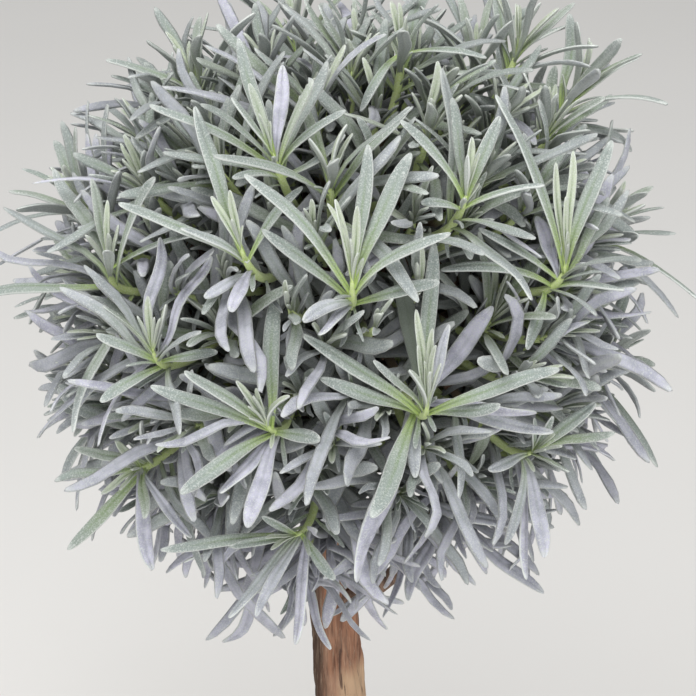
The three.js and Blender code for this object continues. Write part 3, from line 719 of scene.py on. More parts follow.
for shoot in shoots:
    count = math.ceil(shoot["stem"].length / BEAD_STEP)
    beads.strew(shoot["seed"], shoot["stem"].points(np.linspace(0, 1, count + 1)), STEM_THICK)
twigs = []
for shoot in shoots:
    foot, bend, _ = shoot["stem"].corners
    low = "foot" in shoot
    twig = twig_to(foot, unit(bend - foot), LOW_BEND if low else None)
    twigs.append((twig, LOW_FOOT_RADIUS if low else TWIG_FOOT_RADIUS))
    beads.strew(WOOD, twig.points(np.linspace(0, 1, math.ceil(twig.length / BEAD_STEP) + 1)), twigs[-1][1])
for z in range(SOIL_TOP, TRUNK_TOP + 1, BEAD_STEP):
    beads.strew(WOOD, trunk_at(z) - UP * HEAD_HEIGHT, TRUNK_RADIUS)

for shoot in shoots:
    for i, shown in enumerate(shoot.get("leaves", [])):
        settle(shoot, shown_leaf(shoot["stem"], shown, 1 - PAIR_STEP * (i // 2)))
for n, pair in enumerate(LEAF_PAIRS):
    for side in [0] if pair.get("lone") else [0, 1]:
        for shoot in shoots:
            if n >= shoot.get("ruled", 0):
                settle(shoot, pair_leaf(shoot, n, pair, side))


# The real head has far more leaves than the CAD can hold. The rest fill in behind and between: more
# pairs and small axil leaves on every shoot, more shoots a little deeper in the ball, and old leaves
# that hang on the twigs inside it. Nothing here touches what stands already.
MORE_PAIRS = [
    dict(place=0.99, length=15, spread=8, bow=14, width=1.7, age=0),
    dict(place=0.98, length=10, spread=6, bow=20, width=1.5, age=0),
    dict(place=0.95, length=22, spread=24, bow=22, width=2.5, age=0.1),
    dict(place=0.86, length=34, spread=42, bow=28, width=3.6, age=0.4),
    dict(place=0.83, length=12, spread=38, bow=24, width=1.5, age=0.1),
    dict(place=0.72, length=40, spread=58, bow=34, width=4.1, age=0.6),
    dict(place=0.67, length=14, spread=46, bow=26, width=1.6, age=0.3),
    dict(place=0.54, length=38, spread=76, bow=44, width=3.9, age=0.9),
    dict(place=0.5, length=15, spread=55, bow=30, width=1.7, age=0.6),
    dict(place=0.37, length=34, spread=92, bow=52, width=3.8, age=1),
    dict(place=0.23, length=28, spread=104, bow=60, width=3.6, age=1),
    dict(place=0.08, length=26, spread=98, bow=70, width=3.4, age=1),
]
TWIG_PAIRS = [
    dict(place=0.95, length=27, spread=88, bow=60, width=3.6, age=1),
    dict(place=0.78, length=28, spread=96, bow=66, width=3.5, age=1),
    dict(place=0.58, length=26, spread=84, bow=70, width=3.4, age=1),
    dict(place=0.38, length=24, spread=92, bow=60, width=3.2, age=1),
]
LOW_FROM = -12
LOW_TO = -58
HIGH_FROM = 20
HIGH_TO = 70
MOST_BOW = 170 / 1.5
# Young leaves that the photograph shows in the hearts of the front shoots: the shoot and the leaf
YOUNG_LEAVES = [
    (0, (436, 345, 11, 6, 2.2, 0)),
    (0, (441, 363, 10, 4, 2, 0)),
    (0, (418, 345, 9, -8, 2, 0)),
    (1, (327, 203, 8, 30, 2, 0)),
    (1, (359, 212, 6, 5, 2, 0)),
    (2, (256, 388, 9, 6, 2, 0)),
    (3, (566, 196, 7, 4, 2, 0)),
    (5, (160, 318, 8, 6, 2, 0)),
]
YOUNG_PLACE = 0.97
# The first shoot has one leaf that turns from the light and looks much darker than the rest, and one
# broad old leaf that hangs. Two old leaves at the left are wavy.
SHADED_LEAF = 5
HANGING_LEAF = 13
HANGING_WIDTH = 7
WAVY_LEAVES = [(5, 2), (5, 3)]
LIT = -3
SHADED = 2
SHOWN_SWAY = 0.4
WAVY_SWAY = 1.3
INNER_SHOOTS = 300
INNER_RADIUS = 79
INNER_SPACING = 17
INNER_TRIES = (1, 0.94, 0.88, 0.82, 0.76, 0.7)
INNER_TURN = 1
INNER_PLAY = 0.4
INNER_SEED = 20000
TWIG_SEED = 60000
# The head as small cells, each with the number of the shoot that fills it
CELL = 0.9
CROWD_REACH = 150
WOOD_OWNER = 1
TWIG_OWNER = 800
LIMB_ROOM = 3.6
BLADE_RADIUS = 0.9
BLADE_ROWS = (-0.75, 0, 0.75)
BLADE_FROM = 0.1
BLADE_BELOW = 0.3
HEART_LEAF = 15
HEAD_ROOM = np.array(cad_box) / MM - UP * HEAD_HEIGHT + np.array([[-2], [2]])
SHOWN_WIDTH_PX = 2
SHOW_STEP = 0.7
STEM_SHOWN_FROM = 0.55
EDGE_PX = 9


def view_pixel(points):
    """The photograph's pixel (across, down) of each point and how far the point is toward the viewer."""
    toward = points @ TOWARD
    scale = VIEW_FOCAL_PX / (VIEW_DISTANCE - toward)
    across = HEAD_CENTRE_PX[0] + scale * (points @ RIGHT)
    down = HEAD_CENTRE_PX[1] - scale * (points @ VIEW_UP)
    across, down = (np.clip(np.rint(p), EDGE_PX, FRAME_PX - EDGE_PX).astype(int) for p in (across, down))
    return across, down, toward


class Crowd:
    """Which shoot fills each small cell of the head, and how near the shown leaves are at each pixel."""

    def __init__(self):
        self.cells = np.zeros([int(2 * CROWD_REACH / CELL)] * 3, np.int16)
        self.shown = np.full((FRAME_PX, FRAME_PX), np.inf)

    def cell(self, points):
        return tuple(np.clip((points + CROWD_REACH) / CELL, 0, len(self.cells) - 1).astype(int).T)

    def fill(self, owner, points, t, radius=BLADE_RADIUS):
        """Marks the cells within the radius of each point, with one bit for a shoot's leaf roots."""
        span = np.arange(-radius, radius + 0.01, CELL)
        ball = np.stack(np.meshgrid(span, span, span), axis=-1).reshape(-1, 3)
        ball = ball[np.linalg.norm(ball, axis=1) <= radius * 1.05]
        value = 2 * owner + (np.broadcast_to(t, len(points)) < OWN_ROOTS)
        self.cells[self.cell((points[:, None] + ball).reshape(-1, 3))] = np.repeat(value, len(ball))

    def clear(self, owner, points, t):
        value = self.cells[self.cell(points)]
        own = ((value >> 1 == owner) | (value >> 1 == WOOD_OWNER)) & ((value & 1 == 1) | (t < OWN_ROOTS))
        return not ((value > 0) & ~own).any()

    def show(self, points):
        across, down, toward = view_pixel(points)
        wide = range(-SHOWN_WIDTH_PX, SHOWN_WIDTH_PX + 1)
        for i in wide:
            for k in wide:
                np.minimum.at(self.shown, (down + i, across + k), toward)

    def hides(self, points):
        across, down, toward = view_pixel(points)
        return (toward > self.shown[down, across]).any()


def blade_points(leaf, step=1.5):
    """Points in three rows over a leaf's blade, and their shares of its length."""
    steps = math.ceil(leaf.length / step)
    t = np.repeat(BLADE_FROM + (1 - BLADE_FROM) * (np.arange(steps) + 0.5) / steps, len(BLADE_ROWS))
    half = 0.5 * leaf.width * leaf_taper(t)
    point, face, _ = leaf.arc(t)
    return point + (np.tile(BLADE_ROWS, steps) * half)[:, None] * leaf.side - BLADE_BELOW * face, t


def crowd_rod(owner, curve, radius):
    """Fills the cells along a stem, twig or limb."""
    crowd.fill(owner, curve.points(np.linspace(0, 1, math.ceil(curve.length) + 1)), 1, radius)


def fill_in(shoot, options):
    """Adds the first option that touches nothing and stands before no leaf that the photograph shows."""
    for leaf in options:
        points, t = blade_points(leaf)
        heart = leaf.length < HEART_LEAF and "leaves" in shoot
        if (points < HEAD_ROOM[0]).any() or (points > HEAD_ROOM[1]).any():
            continue
        if crowd.clear(shoot["owner"], points, t) and (heart or not crowd.hides(points)):
            shoot["blades"].append(leaf)
            crowd.fill(shoot["owner"], points, t)
            return


def lowness(shoot):
    """From 0 for the upper shoots of the ball to 1 for those below, whose leaves are old and curled."""
    return 0 if "leaves" in shoot else float(smooth(-shoot["tip"][2], -LOW_FROM, -LOW_TO))


def more_leaf(shoot, n, pair, side):
    """A filling leaf: the deeper or lower its shoot, the older, thinner and more curled it is."""
    low = lowness(shoot)
    roll = [chance(shoot["seed"] + 11 * n + side + k) for k in (3, 5, 7)]
    high = float(smooth(shoot["tip"][2], HIGH_FROM, HIGH_TO))
    # Leaves of the inner shoots are older than the same pairs outside, but less so high in the ball
    deep = 0.35 - 0.3 * high if not shoot["cad_leaves"] and pair["place"] < 0.97 else -0.15 * high
    age = min(1, max(pair["age"] + deep, 0.9 * low) + 0.4 * (roll[0] - 0.5))
    age = max(age, 0) if pair["age"] else 0.3 * low
    width = pair["width"] * (0.82 + 0.36 * roll[1]) * (1 - 0.1 * low)
    bow = pair["bow"] * (1 + (1.2 * age + 1.8 * low) * roll[2])
    length = pair["length"] * (0.8 + 0.35 * roll[0])
    more = dict(pair, age=age, bow=min(bow, MOST_BOW), width=width, length=length)
    return pair_leaf(shoot, n + 0.5, more, side)


def fill_pairs(pairs, chosen):
    """Gives the chosen shoots filling leaves, each pair to all of them before the next pair."""
    for n, pair in enumerate(pairs):
        for side in (0, 1):
            for shoot in chosen:
                fill_in(shoot, more_leaf(shoot, n, pair, side))


crowd = Crowd()
for z in range(HEAD_HEIGHT - CROWD_REACH, TRUNK_TOP + 1):
    crowd.fill(WOOD_OWNER, trunk_at(z)[None] - UP * HEAD_HEIGHT, 1, TRUNK_RADIUS - 2)
for limb in limbs:
    crowd_rod(WOOD_OWNER, limb, LIMB_ROOM)
for i, (shoot, (twig, thick)) in enumerate(zip(shoots, twigs)):
    shoot.update(owner=i + 2, cad_leaves=len(shoot["blades"]))
    crowd_rod(WOOD_OWNER, twig, thick)
    crowd_rod(shoot["owner"], shoot["stem"], STEM_THICK)
    for leaf in shoot["blades"]:
        crowd.fill(shoot["owner"], *blade_points(leaf))
    for leaf in shoot["blades"][: len(shoot.get("leaves", []))]:
        crowd.show(blade_points(leaf, SHOW_STEP)[0])
        leaf.shade = LIT
        leaf.sway = SHOWN_SWAY
    if "leaves" in shoot:
        crowd.show(shoot["stem"].points(np.linspace(STEM_SHOWN_FROM, 1, 20)))
shoots[0]["blades"][SHADED_LEAF].shade = SHADED
shoots[0]["blades"][HANGING_LEAF].width = HANGING_WIDTH
for number, n in WAVY_LEAVES:
    shoots[number]["blades"][n].sway = WAVY_SWAY
for number, young in YOUNG_LEAVES:
    shoots[number]["blades"].append(shown_leaf(shoots[number]["stem"], young, YOUNG_PLACE)[0])

for i in range(INNER_SHOOTS):
    height = 1 - 2 * (i + 0.5) / INNER_SHOOTS
    out = spiral(i, height, INNER_TURN)
    play = np.array([chance(i + 9300) - 0.5, chance(i + 9600) - 0.5, 0])
    lean = unit(out + UP * SKYWARD + INNER_PLAY * play)
    for share in INNER_TRIES if height > LOWEST_SHOOT else ():
        tip = out * INNER_RADIUS * share
        stem = stem_of(tip, lean)
        shoot = dict(tip=tip, lean=lean, seed=INNER_SEED + 100 * i, blades=[], cad_leaves=0, stem=stem)
        points = stem.points(np.linspace(0, 1, 40))
        apart = min(np.linalg.norm(s["tip"] - tip) for s in shoots)
        if apart > INNER_SPACING and crowd.clear(0, points, 1) and not crowd.hides(points):
            shoot["owner"] = len(shoots) + 2
            crowd_rod(shoot["owner"], stem, STEM_THICK)
            shoots.append(shoot)
            twig = twig_to(points[0], unit(points[1] - points[0]))
            twigs.append((twig, TWIG_RADIUS))
            crowd_rod(WOOD_OWNER, twig, TWIG_RADIUS)
            break

cad_shoots = [s for s in shoots if s["cad_leaves"]]
inner_shoots = [s for s in shoots if not s["cad_leaves"]]
bare = []
for i, (twig, _) in enumerate(twigs):
    seed, owner = TWIG_SEED + 100 * i, TWIG_OWNER + i
    bare.append(dict(tip=twig.corners[-1], seed=seed, owner=owner, blades=[], cad_leaves=0, stem=twig))
fill_pairs(LEAF_PAIRS, inner_shoots)
fill_pairs(MORE_PAIRS, shoots)
fill_pairs(TWIG_PAIRS, bare)


# A leaf is a felted blade about a millimetre thick. Its margins roll down, a groove runs over the
# midrib and the midrib stands out below. Fine leaves follow the CAD's; filling leaves have fewer faces.
# A section's points are (across in half widths, height in mm), over the top and back below. Stations
# are shares of the length, and a leaf gets slimmer toward its tip by a share of its width.
FINE_TOP = [(0.2, 0.12), (0.6, 0.34), (0.92, 0.16)]
FINE_BELOW = [(0.9, -0.5), (0.55, -0.36), (0.2, -0.5)]
FINE_SECTION = [
    (-1, -0.2),
    *[(-across, height) for across, height in reversed(FINE_TOP)],
    (0, -0.26),
    *FINE_TOP,
    (1, -0.2),
    *FINE_BELOW,
    (0, -0.95),
    *[(-across, height) for across, height in reversed(FINE_BELOW)],
]
PLAIN_SECTION = [(-1, -0.2), (-0.6, 0.3), (0, -0.15), (0.6, 0.3), (1, -0.2), (0, -0.85)]
FINE_STATIONS = [0, 0.06, 0.13, 0.21, 0.3, 0.4, 0.5, 0.6, 0.7, 0.79, 0.87, 0.93, 0.97, 0.99]
PLAIN_STATIONS = [0, 0.14, 0.3, 0.47, 0.64, 0.79, 0.91, 0.98]
FINE_SLIM = 0.17
PLAIN_SLIM = 0.05
USUAL_LENGTH = 40
USUAL_HALF_WIDTH = 2.4
FINE_STEM = (14, 12)
PLAIN_STEM = (8, 8)
LEAF_FACTS = ("along", "across", "under", "age", "tone")


def tube_faces(count, n, low):
    """Faces of rings of points joined in a tube, closed to the two end points that follow the rings."""
    faces = []
    for i in range(count - 1):
        for k in range(n):
            a, b = low + i * n + k, low + i * n + (k + 1) % n
            faces.append((a, a + n, b + n, b))
    first, last = low + count * n, low + (count - 1) * n
    faces += [(first, low + k, low + (k + 1) % n) for k in range(n)]
    faces += [(first + 1, last + (k + 1) % n, last + k) for k in range(n)]
    return faces


def leaf_skin(leaf, seed, section, stations, low):
    """Points of a leaf's rings and its two end points, with each point's place along, across and under."""
    t = np.array(stations)
    u, rise = np.array(section).T
    slim = FINE_SLIM if section is FINE_SECTION else PLAIN_SLIM
    roll = [chance(seed + k) - 0.5 for k in range(9)]
    old = max(leaf.age, low)
    half = 0.5 * leaf.width * leaf_taper(t) * (1 - slim * smooth(t, 0.5, 1))
    point, face, _ = leaf.arc(t)
    # The blade wanders to its sides and up and down, the more the older it is
    size = leaf.length / USUAL_LENGTH * leaf.sway
    once, twice, thrice = (np.sin(k * math.pi * t) for k in (1, 2, 3))
    sway = (0.8 + 1.8 * old) * size * (2 * roll[1] * once + 2 * roll[2] * twice + roll[6] * thrice)
    sag = (0.5 + old) * size * roll[7] * twice
    point = point + sway[:, None] * leaf.side + sag[:, None] * face
    twist = math.radians(50 + 80 * old) * roll[0] * t**1.4
    across = np.cos(twist)[:, None] * leaf.side + np.sin(twist)[:, None] * face
    normal = np.cos(twist)[:, None] * face - np.sin(twist)[:, None] * leaf.side
    # A broad leaf's margins roll down and a narrow young leaf's stand up; an old one's are wavy
    thick = np.minimum(1, 0.3 + half / 1.5) * (0.9 + 0.3 * roll[3])
    rolled = (0.26 + 0.4 * roll[4]) * half if leaf.width > 3 else -0.35 * half
    wave = 0.3 * (0.4 + old) * np.sin(9 * t + 6 * roll[5]) * half / USUAL_HALF_WIDTH
    lift = np.outer(thick, rise) - np.outer(rolled, u**2) + np.outer(wave, u * np.abs(u))
    rings = point[:, None] + np.outer(half, u)[..., None] * across[:, None]
    rings = rings + lift[..., None] * normal[:, None]
    tip = point[-1] + (leaf.arc(np.array([1.0]))[0] - leaf.arc(t[-1:])[0])
    under = [float(k > section.index(max(section))) for k in range(len(section))]
    facts = [
        np.append(np.repeat(t, len(u)), [0, 1]),
        np.append(np.tile(u, len(t)), [0, 0]),
        np.append(np.tile(under, len(t)), [0, 0]),
    ]
    return np.vstack([rings.reshape(-1, 3), leaf.arc(np.array([-0.02]))[0], tip]), facts


def rod_skin(curve, count, sides, radius_at, square=0.0):
    """Points of a rod's rings and its two end points."""
    across = curve.square
    rings = []
    for t in np.linspace(0, 1, count):
        point, along = curve.at(t)
        across = unit(across - along * (across @ along))
        first = turned(across, along, square)
        other = cross(along, first)
        angle = 2 * math.pi * np.arange(sides) / sides
        radius = radius_at(t, angle)
        point = point + np.outer(radius * np.cos(angle), first)
        rings.append(point + np.outer(radius * np.sin(angle), other))
    return np.vstack([*rings, curve.points(0), curve.points(1)])


def stem_radius(t, angle):
    """A young stem is square with rounded corners. It ends in a bud."""
    bud = 1 - 0.7 * smooth(t, 0.8, 1)
    return 0.85 * (STEM_THICK + (STEM_THIN - STEM_THICK) * t) * (1 - 0.1 * np.cos(4 * angle)) * bud


def foliage_paint():
    """Felted leaves from young and green to old and lilac, their green stems and woody stem feet."""
    leaf = Paint("foliage", sheen_weight=0.25, sheen_roughness=0.4)
    along, across = leaf.attribute("along"), leaf.attribute("across")
    under, age, tone = leaf.attribute("under"), leaf.attribute("age"), leaf.attribute("tone")
    edge = across * across
    fine = leaf.noise(1900, 3, 0.75)
    felt = leaf.ramp(fine, 0.49, 0.6)
    patch = leaf.noise(170, 4)
    young = leaf.ramp(age, 0.12, 0.0)
    lit = leaf.ramp(tone, -0.5, -1.5)
    # Fresh leaves: sage above with a green groove, yellow-green at the foot, pale while they are young
    top = leaf.mix(leaf.ramp(tone, 0.45, 0.0) * (1 - lit), (151, 162, 151), (146, 162, 126))
    top = leaf.mix(leaf.ramp(along, 0.45, 0.9) * 0.7, top, (142, 151, 149))
    top = leaf.mix(young, top, (194, 203, 180))
    base = leaf.mix(young, (164, 188, 98), (184, 204, 120))
    fresh = leaf.mix(leaf.ramp(along, 0.0, 0.48), base, top)
    groove = leaf.ramp(edge, 0.07, 0.0) * leaf.ramp(along, 0.95, 0.4)
    fresh = leaf.mix(groove * (0.55 + 0.3 * young), fresh, (122, 144, 98))
    # Old leaves: lilac grey, a little green at the foot. Below, all leaves are paler and greyer
    worn = leaf.mix(leaf.ramp(patch, 0.35, 0.65), (166, 166, 181), (202, 201, 216))
    worn = leaf.mix(leaf.ramp(along, 0.2, 0.0) * 0.6, worn, (160, 168, 138))
    worn = leaf.mix(groove * 0.35, worn, (142, 146, 152))
    colour = leaf.mix(leaf.ramp(age, 0.2, 0.85), fresh, worn)
    below = leaf.mix(leaf.ramp(edge, 0.06, 0.0) * 0.5, (178, 182, 182), (200, 203, 200))
    colour = leaf.mix(under * 0.7, colour, below)
    # White hairs, denser at the margins and toward the tip, and a pale rim that is partly the margins' hairs
    # and partly painted highlight
    hairy = (0.32 + 0.4 * edge) * (0.3 + 0.7 * leaf.ramp(along, 0.02, 0.4))
    hairy = hairy + 0.24 * leaf.ramp(along, 0.5, 0.95)
    colour = leaf.mix(felt * hairy, colour, (217, 221, 216))
    # The pale rim and tip: the whitish hairs there, with painted highlight where the felt catches the light
    rim = leaf.ramp(edge, 0.68, 0.93) * 0.85 + leaf.ramp(along, 0.9, 0.98) * 0.5
    colour = leaf.mix(rim * leaf.ramp(along, 0.0, 0.4), colour, (221, 225, 220))
    # Painted shade: leaves turned from the light, and those deep in the ball
    shade = leaf.ramp(tone, 0.2, 1.0) * 0.3 * (1 - young) + leaf.ramp(tone, 1.0, 2.0) * 0.5
    colour = leaf.mix(shade, colour, (112, 119, 112))
    # Leaves deep in the ball are darkened toward dark green: painted shade
    centre = (0, 0, HEAD_HEIGHT * MM)
    out = leaf.node("ShaderNodeVectorMath", {"operation": "DISTANCE"}, leaf.place(), centre, output="Value")
    deep = leaf.ramp(out, 0.094, 0.054) * (1 - lit)
    colour = leaf.mix(deep * 0.72, colour, (60, 70, 44))
    # Stems have their place along below 0, and where they are woody an age above 1
    stem = leaf.mix(felt * 0.5, (200, 217, 142), (224, 232, 196))
    colour = leaf.mix(leaf.ramp(along, 0.0, -0.5), colour, stem)
    colour = leaf.mix(leaf.ramp(age, 1.1, 1.9), colour, leaf.mix(patch, (92, 76, 58), (136, 116, 92)))
    return leaf.finish(colour, 0.85 + 0.1 * felt, felt * 0.6 + patch * 0.8, 0.14)


foliage = foliage_paint()


class Skin:
    """Gathers the parts of one piece, with the values that its paint reads at each point."""

    def __init__(self):
        self.points, self.faces, self.facts, self.count = [], [], [], 0

    def add(self, points, rings, sides, *facts):
        self.faces += tube_faces(rings, sides, self.count)
        self.points.append(points + UP * HEAD_HEIGHT)
        self.facts.append(np.array([np.broadcast_to(f, len(points)) for f in facts]))
        self.count += len(points)

    def leaves(self, shoot):
        for n, leaf in enumerate(shoot["blades"]):
            fine = n < shoot["cad_leaves"]
            section, stations = (FINE_SECTION, FINE_STATIONS) if fine else (PLAIN_SECTION, PLAIN_STATIONS)
            low = lowness(shoot)
            points, facts = leaf_skin(leaf, shoot["seed"] + 7 * n, section, stations, low)
            age = max(leaf.age, 0.95 * low) if leaf.age else 0.2 * low
            tone = chance(shoot["seed"] + 7 * n + 40) + leaf.shade
            self.add(points, len(stations), len(section), *facts, age, tone)

    def shoot(self, shoot):
        rings, sides = FINE_STEM if shoot["cad_leaves"] else PLAIN_STEM
        points = rod_skin(shoot["stem"], rings, sides, stem_radius, 90 * chance(shoot["seed"]) + 45)
        share = np.append(np.repeat(np.linspace(0, 1, rings), sides), [0, 1])
        woody = 1.9 * (1 - smooth(share, 0.1, 0.6))
        self.add(points, rings, sides, -1, 0.4, 0, woody, 0)
        self.leaves(shoot)

    def piece(self, name, material, keys):
        facts = dict(zip(keys, np.hstack(self.facts)))
        made = make_object(name, np.vstack(self.points), self.faces, material, **facts)
        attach(made, "root")
        return made


# Each shoot of the CAD is a piece of its own. The rest are joined in a few pieces.
INNER_PIECES = 6
OLD_PIECES = 3
for i, shoot in enumerate(cad_shoots):
    skin = Skin()
    skin.shoot(shoot)
    piece = skin.piece(f"lavender_shoot_{i + 1:02d}", foliage, LEAF_FACTS)
    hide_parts(f"leafy_shoot_{i + 1:02d}")
for part in range(INNER_PIECES):
    skin = Skin()
    for shoot in inner_shoots[part::INNER_PIECES]:
        skin.shoot(shoot)
    skin.piece(f"inner_shoots_{part + 1}", foliage, LEAF_FACTS)
for part in range(OLD_PIECES):
    skin = Skin()
    for shoot in bare[part::OLD_PIECES]:
        skin.leaves(shoot)
    skin.piece(f"old_leaves_{part + 1}", foliage, LEAF_FACTS)


# The trunk, its limbs and its twigs are one piece of wood clad in bark. The bark is thin and fibrous,
# red-brown where it is fresh and pale where it has peeled low on the right, with painted shade on the
# trunk's left side. That on limbs and twigs is greyer.
BARK_RIDGE = 0.05
TRUNK_RINGS = 150
TRUNK_SIDES = 72
LIMB_RINGS = (14, 16)
LIMB_RADII = (4.2, 3.3)
TWIG_RINGS = (12, 10)
INNER_TWIG_RINGS = (8, 6)
FLARE = 0.5
FLARE_SHARE = 0.25
RIB = 0.06


def bark_paint():
    """Upright strips and fibres in reddish brown. Thin is 0 on the trunk and 1 on a twig."""
    bark = Paint("bark")
    thin = bark.attribute("thin")
    strips = bark.noise(650, 5, 0.6, bark.stretched((1, 1, 0.045)))
    fibre = bark.noise(2300, 4, 0.6, bark.stretched((1, 1, 0.03)))
    patch = bark.noise(42, 4, 0.6, bark.stretched((1, 1, 0.35)))
    across = bark.node("ShaderNodeSeparateXYZ", {}, bark.place(), output="X")
    height = bark.node("ShaderNodeSeparateXYZ", {}, bark.place(), output="Z")
    colour = bark.mix(bark.ramp(strips, 0.38, 0.58), (108, 72, 54), (158, 112, 86))
    colour = bark.mix(bark.ramp(patch, 0.48, 0.66) * 0.6, colour, (192, 158, 132))
    colour = bark.mix(bark.ramp(patch, 0.46, 0.32) * 0.6, colour, (122, 80, 62))
    # The pale patch low on the right, and painted shade on the left side
    peeled = bark.ramp(height, 0.252, 0.241) * bark.ramp(height, 0.17, 0.2)
    peeled = peeled * bark.ramp(across + 0.01 * patch, 0.004, 0.008)
    colour = bark.mix(peeled * 0.75, colour, (208, 176, 142))
    # Painted shade: the trunk's left side darkened toward dark brown
    painted_shade_flank = bark.ramp(across - 0.008 * patch, -0.0085, -0.0125)
    colour = bark.mix(painted_shade_flank * 0.85, colour, (62, 44, 32))
    # Pale fibres, dark cracks, and greyer bark on limbs and twigs
    colour = bark.mix(bark.ramp(fibre, 0.5, 0.72) * 0.4, colour, (206, 182, 156))
    colour = bark.mix(bark.ramp(strips, 0.4, 0.33) * 0.8, colour, (74, 52, 42))
    twig = bark.mix(bark.ramp(strips, 0.4, 0.6), (78, 64, 54), (124, 106, 92))
    colour = bark.mix(thin * 0.75, colour, twig)
    return bark.finish(colour, 0.82 + 0.12 * fibre, strips * 1.0 + fibre * 0.5, 0.8)


def trunk_skin():
    """The trunk's rings, with three soft ridges and with bumps and cracks that wander round it."""
    points = []
    angle = 2 * math.pi * np.arange(TRUNK_SIDES) / TRUNK_SIDES
    for t in np.linspace(0, 1, TRUNK_RINGS):
        z = TRUNK_FOOT + (TRUNK_TOP - TRUNK_FOOT) * t
        ridge = BARK_RIDGE * smooth(z, SOIL_TOP, SOIL_TOP + POT_WALL)
        radius = TRUNK_RADIUS + (LEADER_RADIUS - TRUNK_RADIUS) * t**3
        radius = radius * (1 + ridge * np.cos(3 * (angle + 3 * t)))
        radius = radius + 0.35 * np.sin(7 * angle + 4 * math.sin(z / 19))
        radius = radius + 0.25 * np.sin(13 * angle - 5 * math.sin(z / 13 + 2))
        radius = radius + 0.3 * np.sin(23 * angle + 3 * np.sin(z / 9 + angle))
        around = np.column_stack([radius * np.cos(angle), radius * np.sin(angle), np.zeros(TRUNK_SIDES)])
        points.append(trunk_at(z) + around)
    return np.vstack([*points, trunk_at(TRUNK_FOOT), trunk_at(TRUNK_TOP)]) - UP * HEAD_HEIGHT


def limb_radius(foot, end):
    """The radius of a limb or twig that flares where it leaves the wood and has five soft ribs."""

    def radius(t, angle):
        flare = 1 + FLARE * (1 - smooth(t, 0, FLARE_SHARE))
        return (foot + (end - foot) * t) * flare * (1 + RIB * np.cos(5 * angle + 6 * t))

    return radius


bark = bark_paint()
wood = Skin()
wood.add(trunk_skin(), TRUNK_RINGS, TRUNK_SIDES, 0)
for limb in limbs:
    wood.add(rod_skin(limb, *LIMB_RINGS, limb_radius(*LIMB_RADII)), *LIMB_RINGS, 0.5)
for i, (twig, thick) in enumerate(twigs):
    rings, sides = TWIG_RINGS if i < len(cad_shoots) else INNER_TWIG_RINGS
    wood.add(rod_skin(twig, rings, sides, limb_radius(thick, TWIG_RADIUS)), rings, sides, 1)
wood_piece = wood.piece("trunk_limbs_and_twigs", bark, ["thin"])
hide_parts("trunk_and_branches")


# The soil is a peaty, bark-based compost that fills the pot's bore, firmed by hand round the trunk, so
# its top is a little uneven. Loose crumbs of bark and a few white grains of perlite lie on it.
SOIL_BUMP = 1.6
SOIL_LUMP = 0.35
SOIL_SIDES = 120
SOIL_RINGS = 43
SOIL_GAP = 0.45
FLOOR_GAP = 0.3
SOIL_EDGE = 3
EDGE_NIP = 0.2
AXIS_GAP = 0.02


def soil_height(x, y):
    """The soil's top: broad bumps with small lumps on them."""
    bump = math.sin(x * 0.19 + 1) * math.cos(y * 0.23) + 0.6 * math.sin(x * 0.41 - y * 0.33)
    lump = SOIL_LUMP * math.sin(1.3 * x + 2 * math.sin(y)) * math.sin(1.1 * y + math.sin(x))
    return SOIL_TOP + SOIL_BUMP * bump + lump


def soil_paint():
    """Dark and brown lumps with small paler specks."""
    soil = Paint("potting_soil")
    lumps = soil.noise(240, 6, 0.65)
    fine = soil.noise(900, 4, 0.65)
    colour = soil.mix(soil.ramp(lumps, 0.35, 0.65), (40, 29, 22), (82, 62, 46))
    colour = soil.mix(soil.ramp(fine, 0.56, 0.72) * 0.6, colour, (120, 96, 74))
    return soil.finish(colour, 0.9 + 0.08 * fine, lumps + fine * 0.5, 1.2)


def wall_radius(z):
    """The soil's radius at a height, just clear of the pot's wall."""
    return pot_bore(z) - SOIL_GAP


foot = POT_FLOOR + FLOOR_GAP
shoulder = SOIL_TOP - SOIL_EDGE
profile = [(0, foot), (wall_radius(POT_FLOOR), foot), (wall_radius(SOIL_TOP) - EDGE_NIP, shoulder)]
for share in np.linspace(0, 1, SOIL_RINGS + 1)[1:]:
    profile.append(((1 - share) * wall_radius(SOIL_TOP) + AXIS_GAP, SOIL_TOP))
points, faces = lathe([*profile, (0, SOIL_TOP)], SOIL_SIDES)
for point in points:
    if point[2] > SOIL_TOP - 1:
        point[2] = soil_height(point[0], point[1])
soil = make_object("compost", points, faces, soil_paint())
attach(soil, "root")
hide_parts("potting_soil")


class Grower(Tree):
    """Geometry nodes with named inputs, run once on a bed to give a plain mesh."""

    def __init__(self, name, **inputs):
        self.tree = bpy.data.node_groups.new(name, "GeometryNodeTree")
        self.values, self.keys = inputs, {}
        kinds = {type(None): "Geometry", int: "Int", float: "Float", tuple: "Vector"}
        for key, value in {"Bed": None, **inputs}.items():
            kind = "NodeSocket" + kinds.get(type(value), "Material")
            self.keys[key] = self.tree.interface.new_socket(key, in_out="INPUT", socket_type=kind).identifier
        self.tree.interface.new_socket("Grown", in_out="OUTPUT", socket_type="NodeSocketGeometry")
        self.inputs = self.tree.nodes.new("NodeGroupInput")

    def value(self, key):
        return Value(self, self.inputs.outputs[key])

    def vector(self, operation, *values, output=0):
        return self.node("ShaderNodeVectorMath", {"operation": operation}, *values, output=output)

    def finish(self, grown):
        placed = self.node("GeometryNodeRealizeInstances", {}, grown)
        dressed = self.node("GeometryNodeSetMaterial", {}, placed, Material=self.value("Paint"))
        self.tree.links.new(dressed.socket, self.tree.nodes.new("NodeGroupOutput").inputs[0])

    def grow(self, name, bed, **changes):
        modifier = bed.modifiers.new(name, "NODES")
        modifier.node_group = self.tree
        for key, value in {**self.values, **changes}.items():
            modifier[self.keys[key]] = value
        return add_object(name, applied(bed))


def crumb_paint(name, dark, light):
    crumb = Paint(name)
    grain = crumb.noise(700, 4, 0.6)
    return crumb.finish(crumb.mix(crumb.ramp(grain, 0.35, 0.65), dark, light), 0.85 + 0.1 * grain, grain, 0.4)


